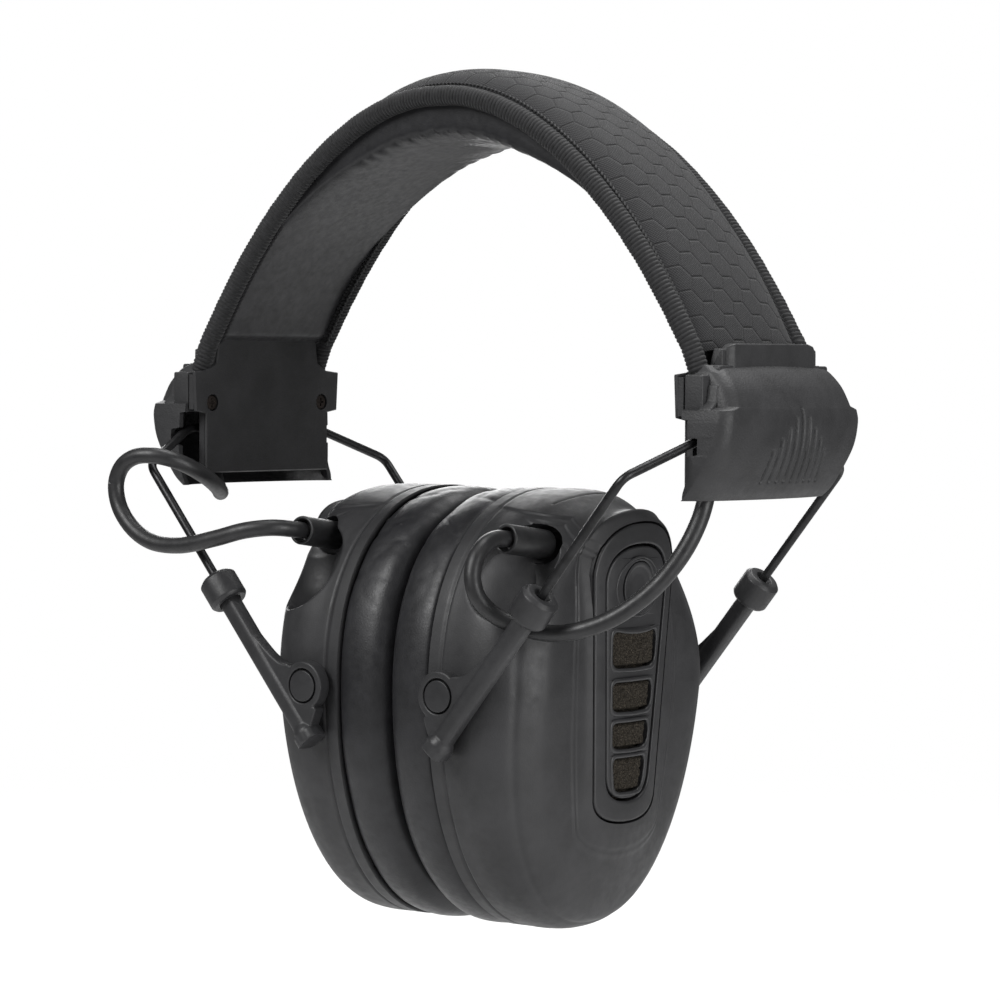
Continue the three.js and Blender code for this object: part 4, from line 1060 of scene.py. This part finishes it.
def add_cushion(side, x):
    rows, columns = 54, 460
    angles = np.linspace(0, 2 * np.pi, columns, endpoint=False)
    profile = [(13, 2.4), (12.805, 0.9), (11.18, 0.25), (7.15, 0), (3.25, 0.7), (0.78, 2.6), (0, 5),
               (0, 12.4), (0.78, 15), (3.9, 16.8), (9.1, 16.9), (13, 16.2)]
    line = resampled(spline(profile, 10), rows)
    rings = np.array([rim_ring(0.4 + out, inset, angles) for out, inset in line])
    radial = rings - (6.9, 0, CUP_Z)
    radial[..., 0] *= 2.5
    radial /= np.linalg.norm(radial, axis=-1, keepdims=True)
    around = angles[None, :] * 50
    soft = 0.3 * noise(rings, 16) + 0.05 * noise(rings, 6)
    upper = smoothstep(rings[..., 2], -118, -92)
    wrinkle = (1 - np.abs(noise(in_space(around, rings[..., 0] * 0.5, 0), 7))) ** 4
    face = smoothstep(line[:, 0], 0, 2.5)[:, None]
    rings = rings + radial * ((soft - 0.35 * wrinkle * upper) * face)[..., None]
    rings[..., 0] = np.maximum(rings[..., 0], 0.35)
    cushion = add_piece(f"{side}_ear_cushion", skin(rings, loop=True), 60, "leatherette",
                        f"{side}_cushion", f"{side}_cup", x)
    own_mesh(cushion)


def add_ear_foam(side, x):
    angles = np.linspace(0, 2 * np.pi, 200, endpoint=False)
    rows = [(13.2, 17.8), (10.9, 17.9), (10.5, 18.4)]
    rings = [rim_ring(px, inset, angles) for px, inset in rows]
    middle = np.array([10.5, 0, CUP_Z])
    rings += [middle + (rings[2] - middle) * share for share in np.linspace(0.97, 0.02, 60)]
    rings = np.array(rings)
    rings[1:, :, 0] += 0.3 * noise(rings[1:], 1.6) + 0.35 * noise(rings[1:], 6)
    foam = add_piece(f"{side}_ear_foam_disc", skin(rings), 60, "open_cell_foam", f"{side}_ear_foam",
                     f"{side}_cup", x)


def add_grommet(side, x):
    axis = GROMMET_END - GROMMET_BASE
    end = np.linalg.norm(axis) + 1
    profile = rounded([(0.01, -1.6), (SLEEVE_RADIUS, -1.6), (SLEEVE_RADIUS, end), (2.75, end),
                       (2.55, end - 3), (0.01, end - 3)], 0.3, 3)
    add_piece(f"{side}_grommet_sleeve", lathe(profile, GROMMET_BASE, axis, 56), 45, "cable_rubber",
              f"{side}_grommet", f"{side}_cup", x)


def window_line(z, height, top_width, bottom_width, sag):
    """A window's rounded outline; sag lowers the middle of its top edge."""
    top, bottom, h = top_width / 2, bottom_width / 2, height / 2
    corners = [(-top, z + h), (-top * 0.5, z + h - sag), (0, z + h - sag * 1.3), (top * 0.5, z + h - sag),
               (top, z + h), (bottom, z - h), (0, z - h - 0.25), (-bottom, z - h)]
    return rounded_loop(corners, 2.7, 7)


def flat_with_holes(name, outlines, thickness, edge):
    """A flat plate with holes, with rounded edges, in the panel's own [across, up, out] millimetres."""
    curve = bpy.data.curves.new(name, "CURVE")
    curve.dimensions = "2D"
    curve.fill_mode = "BOTH"
    curve.extrude = thickness / 2 - edge
    curve.bevel_depth = edge
    curve.bevel_resolution = 3
    curve.offset = -edge
    for line in outlines:
        loop = curve.splines.new("POLY")
        loop.points.add(len(line) - 1)
        loop.points.foreach_set("co", np.c_[line, np.zeros(len(line)), np.ones(len(line))].ravel())
        loop.use_cyclic_u = True
    holder = bpy.data.objects.new(name, curve)
    bpy.context.scene.collection.objects.link(holder)
    bpy.context.view_layer.update()
    mesh = bpy.data.meshes.new_from_object(holder.evaluated_get(bpy.context.evaluated_depsgraph_get()))
    points = np.array([v.co for v in mesh.vertices], float)
    faces = [list(p.vertices) for p in mesh.polygons]
    bpy.data.objects.remove(holder)
    bpy.data.meshes.remove(mesh)
    return points, faces


def welded(made):
    """Joins the double points that lie on a seam."""
    edit = bmesh.new()
    edit.from_mesh(made.data)
    bmesh.ops.remove_doubles(edit, verts=edit.verts, dist=0.01 * MM)
    bmesh.ops.recalc_face_normals(edit, faces=edit.faces)
    edit.to_mesh(made.data)
    edit.free()
    made.data.shade_smooth()
    made.data.set_sharp_from_angle(angle=math.radians(40))
    return made


def add_bezel(side, x):
    rings = []
    for inset, out in rounded_loop([(0, -1.9), (0, 0.45), (BEZEL_WIDTH, 0.45), (BEZEL_WIDTH, -1.9)], 0.5, 5):
        share = inset / BEZEL_WIDTH
        line = panel_outline(0.1 + inset, 260, BEZEL_END_EXTRA * share, PANEL_TOP_CORNER - 4 * share)
        rings.append(on_panel(line[:, 0], line[:, 1], out))
    add_piece(f"{side}_bezel_ring", skin(rings, loop=True), 40, "panel_plastic", f"{side}_bezel",
              f"{side}_cup", x)


def ridge(outline_at, radius, out):
    """A soft raised line round a closed outline; outline_at gives the outline grown by some mm."""
    rings = []
    for angle in np.linspace(0, 2 * np.pi, 12, endpoint=False):
        line = outline_at(radius * math.cos(angle))
        rings.append(on_panel(line[:, 0], line[:, 1], out + radius * 0.8 * math.sin(angle)))
    return skin(rings, loop=True)


def add_panel(side, x):
    turn = np.linspace(0, 2 * np.pi, 72, endpoint=False)
    hole = np.c_[np.cos(turn), np.sin(turn)] * (BUTTON_RADIUS + 0.16) + (0, BUTTON_Z)
    outlines = [panel_outline(BEZEL_WIDTH + 0.6, 260, BEZEL_END_EXTRA + 0.1, 8.8), hole]
    sags = [0.8, 0, 0, 0]
    outlines += [window_line(*window, sag) for window, sag in zip(WINDOWS, sags)]
    points, faces = flat_with_holes(f"{side}_panel", outlines, PANEL_THICKNESS, 0.5)
    points = on_panel(points[:, 0], points[:, 1], points[:, 2] + PANEL_MIDDLE)
    shapes = [mirrored((points, faces), x=x)]
    for (z, *sizes), sag in zip(WINDOWS, sags):
        grown = lambda g: window_line(z, *(size + 0.9 + 2 * g for size in sizes), sag)
        shapes.append(mirrored(ridge(grown, 0.5, 0), x=x))
    dish = lambda g: np.c_[np.cos(turn) * (8.3 + g), np.sin(turn) * (7 + g) + BUTTON_Z]
    shapes.append(mirrored(ridge(dish, 0.3, 0.03), x=x))
    panel = welded(as_object(f"{side}_window_panel", merged(shapes), 40))
    finished(panel, "panel_plastic", [f"{side}_panel"], f"{side}_cup")


def add_windscreen(side, x):
    """Foam behind the panel that bulges a little into each window."""
    half = 9.6
    up = np.linspace(-30.5, 12.5, 250)[:, None]
    across = np.linspace(-half, half, 116)[None, :]
    bulge = 0
    for z, height, top, bottom in WINDOWS:
        width = bottom + (top - bottom) * ((up - z) / height + 0.5)
        room = np.minimum(height / 2 - np.abs(up - z), width / 2 - np.abs(across))
        bulge = np.maximum(bulge, 2 * smoothstep(room, -0.3, 0.9))
    rough = 0.24 * noise(in_space(0, across, up), 0.9) + 0.2 * noise(in_space(4, across, up), 0.45)
    front = on_panel(across, up, -2.35 + bulge + rough)
    back = on_panel(np.linspace(half, -half, 12)[None, :], up, -4.5)
    shape = skin(np.concatenate([front, back], axis=1))
    add_piece(f"{side}_windscreen_foam", shape, 80, "open_cell_foam", f"{side}_windscreen", f"{side}_cup", x)


def add_button(side, x):
    profile = rounded([(0.01, -2), (BUTTON_RADIUS, -2), (BUTTON_RADIUS, 0.05), (5.2, 0.05), (4.7, -0.25),
                       (3, -0.5), (0.01, -0.6)], 0.25, 4)
    middle = on_panel(0, BUTTON_Z, 0)
    outward = on_panel(0, BUTTON_Z, 1) - middle
    add_piece(f"{side}_round_button", lathe(profile, middle, outward, 72), 40, "panel_plastic",
              f"{side}_power_button", f"{side}_button", x)


# ---------------------------------------------------------------- carried-over CAD parts


def finish_cad_nodes():
    """Gives the CAD parts that no piece replaces their finish, and the visible ones soft edges."""
    slots = {part["node"]: part["material_slot"] for part in frame["record"]["subparts"]}
    softened = ("inner_plate", "wire_clip", "screw")
    for name, node in frame["nodes"].items():
        if node.hide_render:
            continue
        node.data.materials.clear()
        node.data.materials.append(MATERIALS[slots[name]])
        if name.endswith(softened):
            weld = node.modifiers.new("weld", "WELD")
            weld.merge_threshold = 0.02 * MM
            bevel = node.modifiers.new("soft edges", "BEVEL")
            bevel.width = (0.08 if name.endswith("screw") else 0.22) * MM
            bevel.segments = 2
            bevel.limit_method = "ANGLE"
            bevel.angle_limit = math.radians(40)
            bevel.harden_normals = True


# ---------------------------------------------------------------- studio

FLOOR_Z = -238
# The floor fades out between these distances from its middle, in metres.
FLOOR_FADE = (0.1, 0.75)
# Name, place and size in metres, and power in watts.
LIGHTS = [
    ("key", (-0.25, -1.1, 0.75), (0.7, 0.7), 15),
    ("fill", (1.25, -0.15, 0.0), (0.6, 0.9), 9),
    ("top", (0.1, 0.35, 1.1), (0.9, 0.9), 14),
    ("rear", (-0.9, 0.9, 0.25), (0.6, 0.9), 9),
]
LIGHT_TARGET = (0, 0, -0.08)


def add_area_light(name, place, size, power):
    data = bpy.data.lights.new(name, "AREA")
    data.shape = "RECTANGLE"
    data.size, data.size_y = size
    data.energy = power
    light = bpy.data.objects.new(name, data)
    light.location = place
    light.rotation_mode = "QUATERNION"
    light.rotation_quaternion = (Vector(LIGHT_TARGET) - Vector(place)).to_track_quat("-Z", "Y")
    light.visible_camera = False
    bpy.context.scene.collection.objects.link(light)


def add_floor():
    """A pale round floor that runs out to nothing before its edge, so that no horizon shows."""
    turn = np.linspace(0, 2 * np.pi, 96, endpoint=False)
    rings = [in_space(r * np.cos(turn), r * np.sin(turn), FLOOR_Z) for r in (3000, 1500, 600, 200, 20)]
    middle = list(range(4 * 96, 5 * 96))
    floor = as_object("floor", (np.vstack(rings), lattice_faces(5, 96) + [middle]))
    m = Nodes("pale_floor", (0.9, 0.9, 0.9), 0.8, specular=0.2)
    radius = m.add("ShaderNodeVectorMath", {"operation": "LENGTH"}, i0=m.place).outputs["Value"]
    clear = m.add("ShaderNodeBsdfTransparent")
    mix = m.add("ShaderNodeMixShader")
    fade = m.add("ShaderNodeMapRange", {"interpolation_type": "SMOOTHSTEP"}, Value=radius)
    fade.inputs["From Min"].default_value, fade.inputs["From Max"].default_value = FLOOR_FADE
    m.tree.links.new(fade.outputs["Result"], mix.inputs[0])
    m.tree.links.new(m.shader.outputs[0], mix.inputs[1])
    m.tree.links.new(clear.outputs[0], mix.inputs[2])
    output = next(n for n in m.tree.nodes if n.type == "OUTPUT_MATERIAL")
    m.tree.links.new(mix.outputs[0], output.inputs["Surface"])
    m.bump(m.noise(30, 3), 0.2)
    floor.data.materials.append(m.material)


def add_studio():
    world = bpy.data.worlds.new("studio")
    world.use_nodes = True
    tree = world.node_tree
    kinds = ("ShaderNodeBackground", "ShaderNodeBackground", "ShaderNodeMixShader")
    seen, lit, mix = (tree.nodes.new(kind) for kind in kinds)
    seen.inputs["Strength"].default_value = 1.0
    seen.inputs["Color"].default_value = (1, 1, 1, 1)
    lit.inputs["Strength"].default_value = 0.16
    lit.inputs["Color"].default_value = (1, 1, 1, 1)
    path = tree.nodes.new("ShaderNodeLightPath")
    tree.links.new(path.outputs["Is Camera Ray"], mix.inputs[0])
    tree.links.new(lit.outputs[0], mix.inputs[1])
    tree.links.new(seen.outputs[0], mix.inputs[2])
    tree.links.new(mix.outputs[0], tree.nodes["World Output"].inputs["Surface"])
    bpy.context.scene.world = world
    bpy.context.scene.view_settings.view_transform = "Standard"
    for light in LIGHTS:
        add_area_light(*light)


# ---------------------------------------------------------------- assembly

add_camera()
add_cable("right")
add_cable("left")
add_cover()
add_crown_pad()
for end_name, end_y in ENDS.items():
    add_piping(end_name, end_y)
    add_stitches(end_name, end_y)
for side_name, side_x in SIDES.items():
    add_housing(side_name, side_x)
    add_fork(side_name, side_x)
    for end_name, end_y in ENDS.items():
        add_arm(side_name, side_x, end_name, end_y)
    add_cup_shell(side_name, side_x)
    add_cushion(side_name, side_x)
    add_ear_foam(side_name, side_x)
    add_grommet(side_name, side_x)
    add_bezel(side_name, side_x)
    add_panel(side_name, side_x)
    add_windscreen(side_name, side_x)
    add_button(side_name, side_x)
finish_cad_nodes()
add_floor()
add_studio()
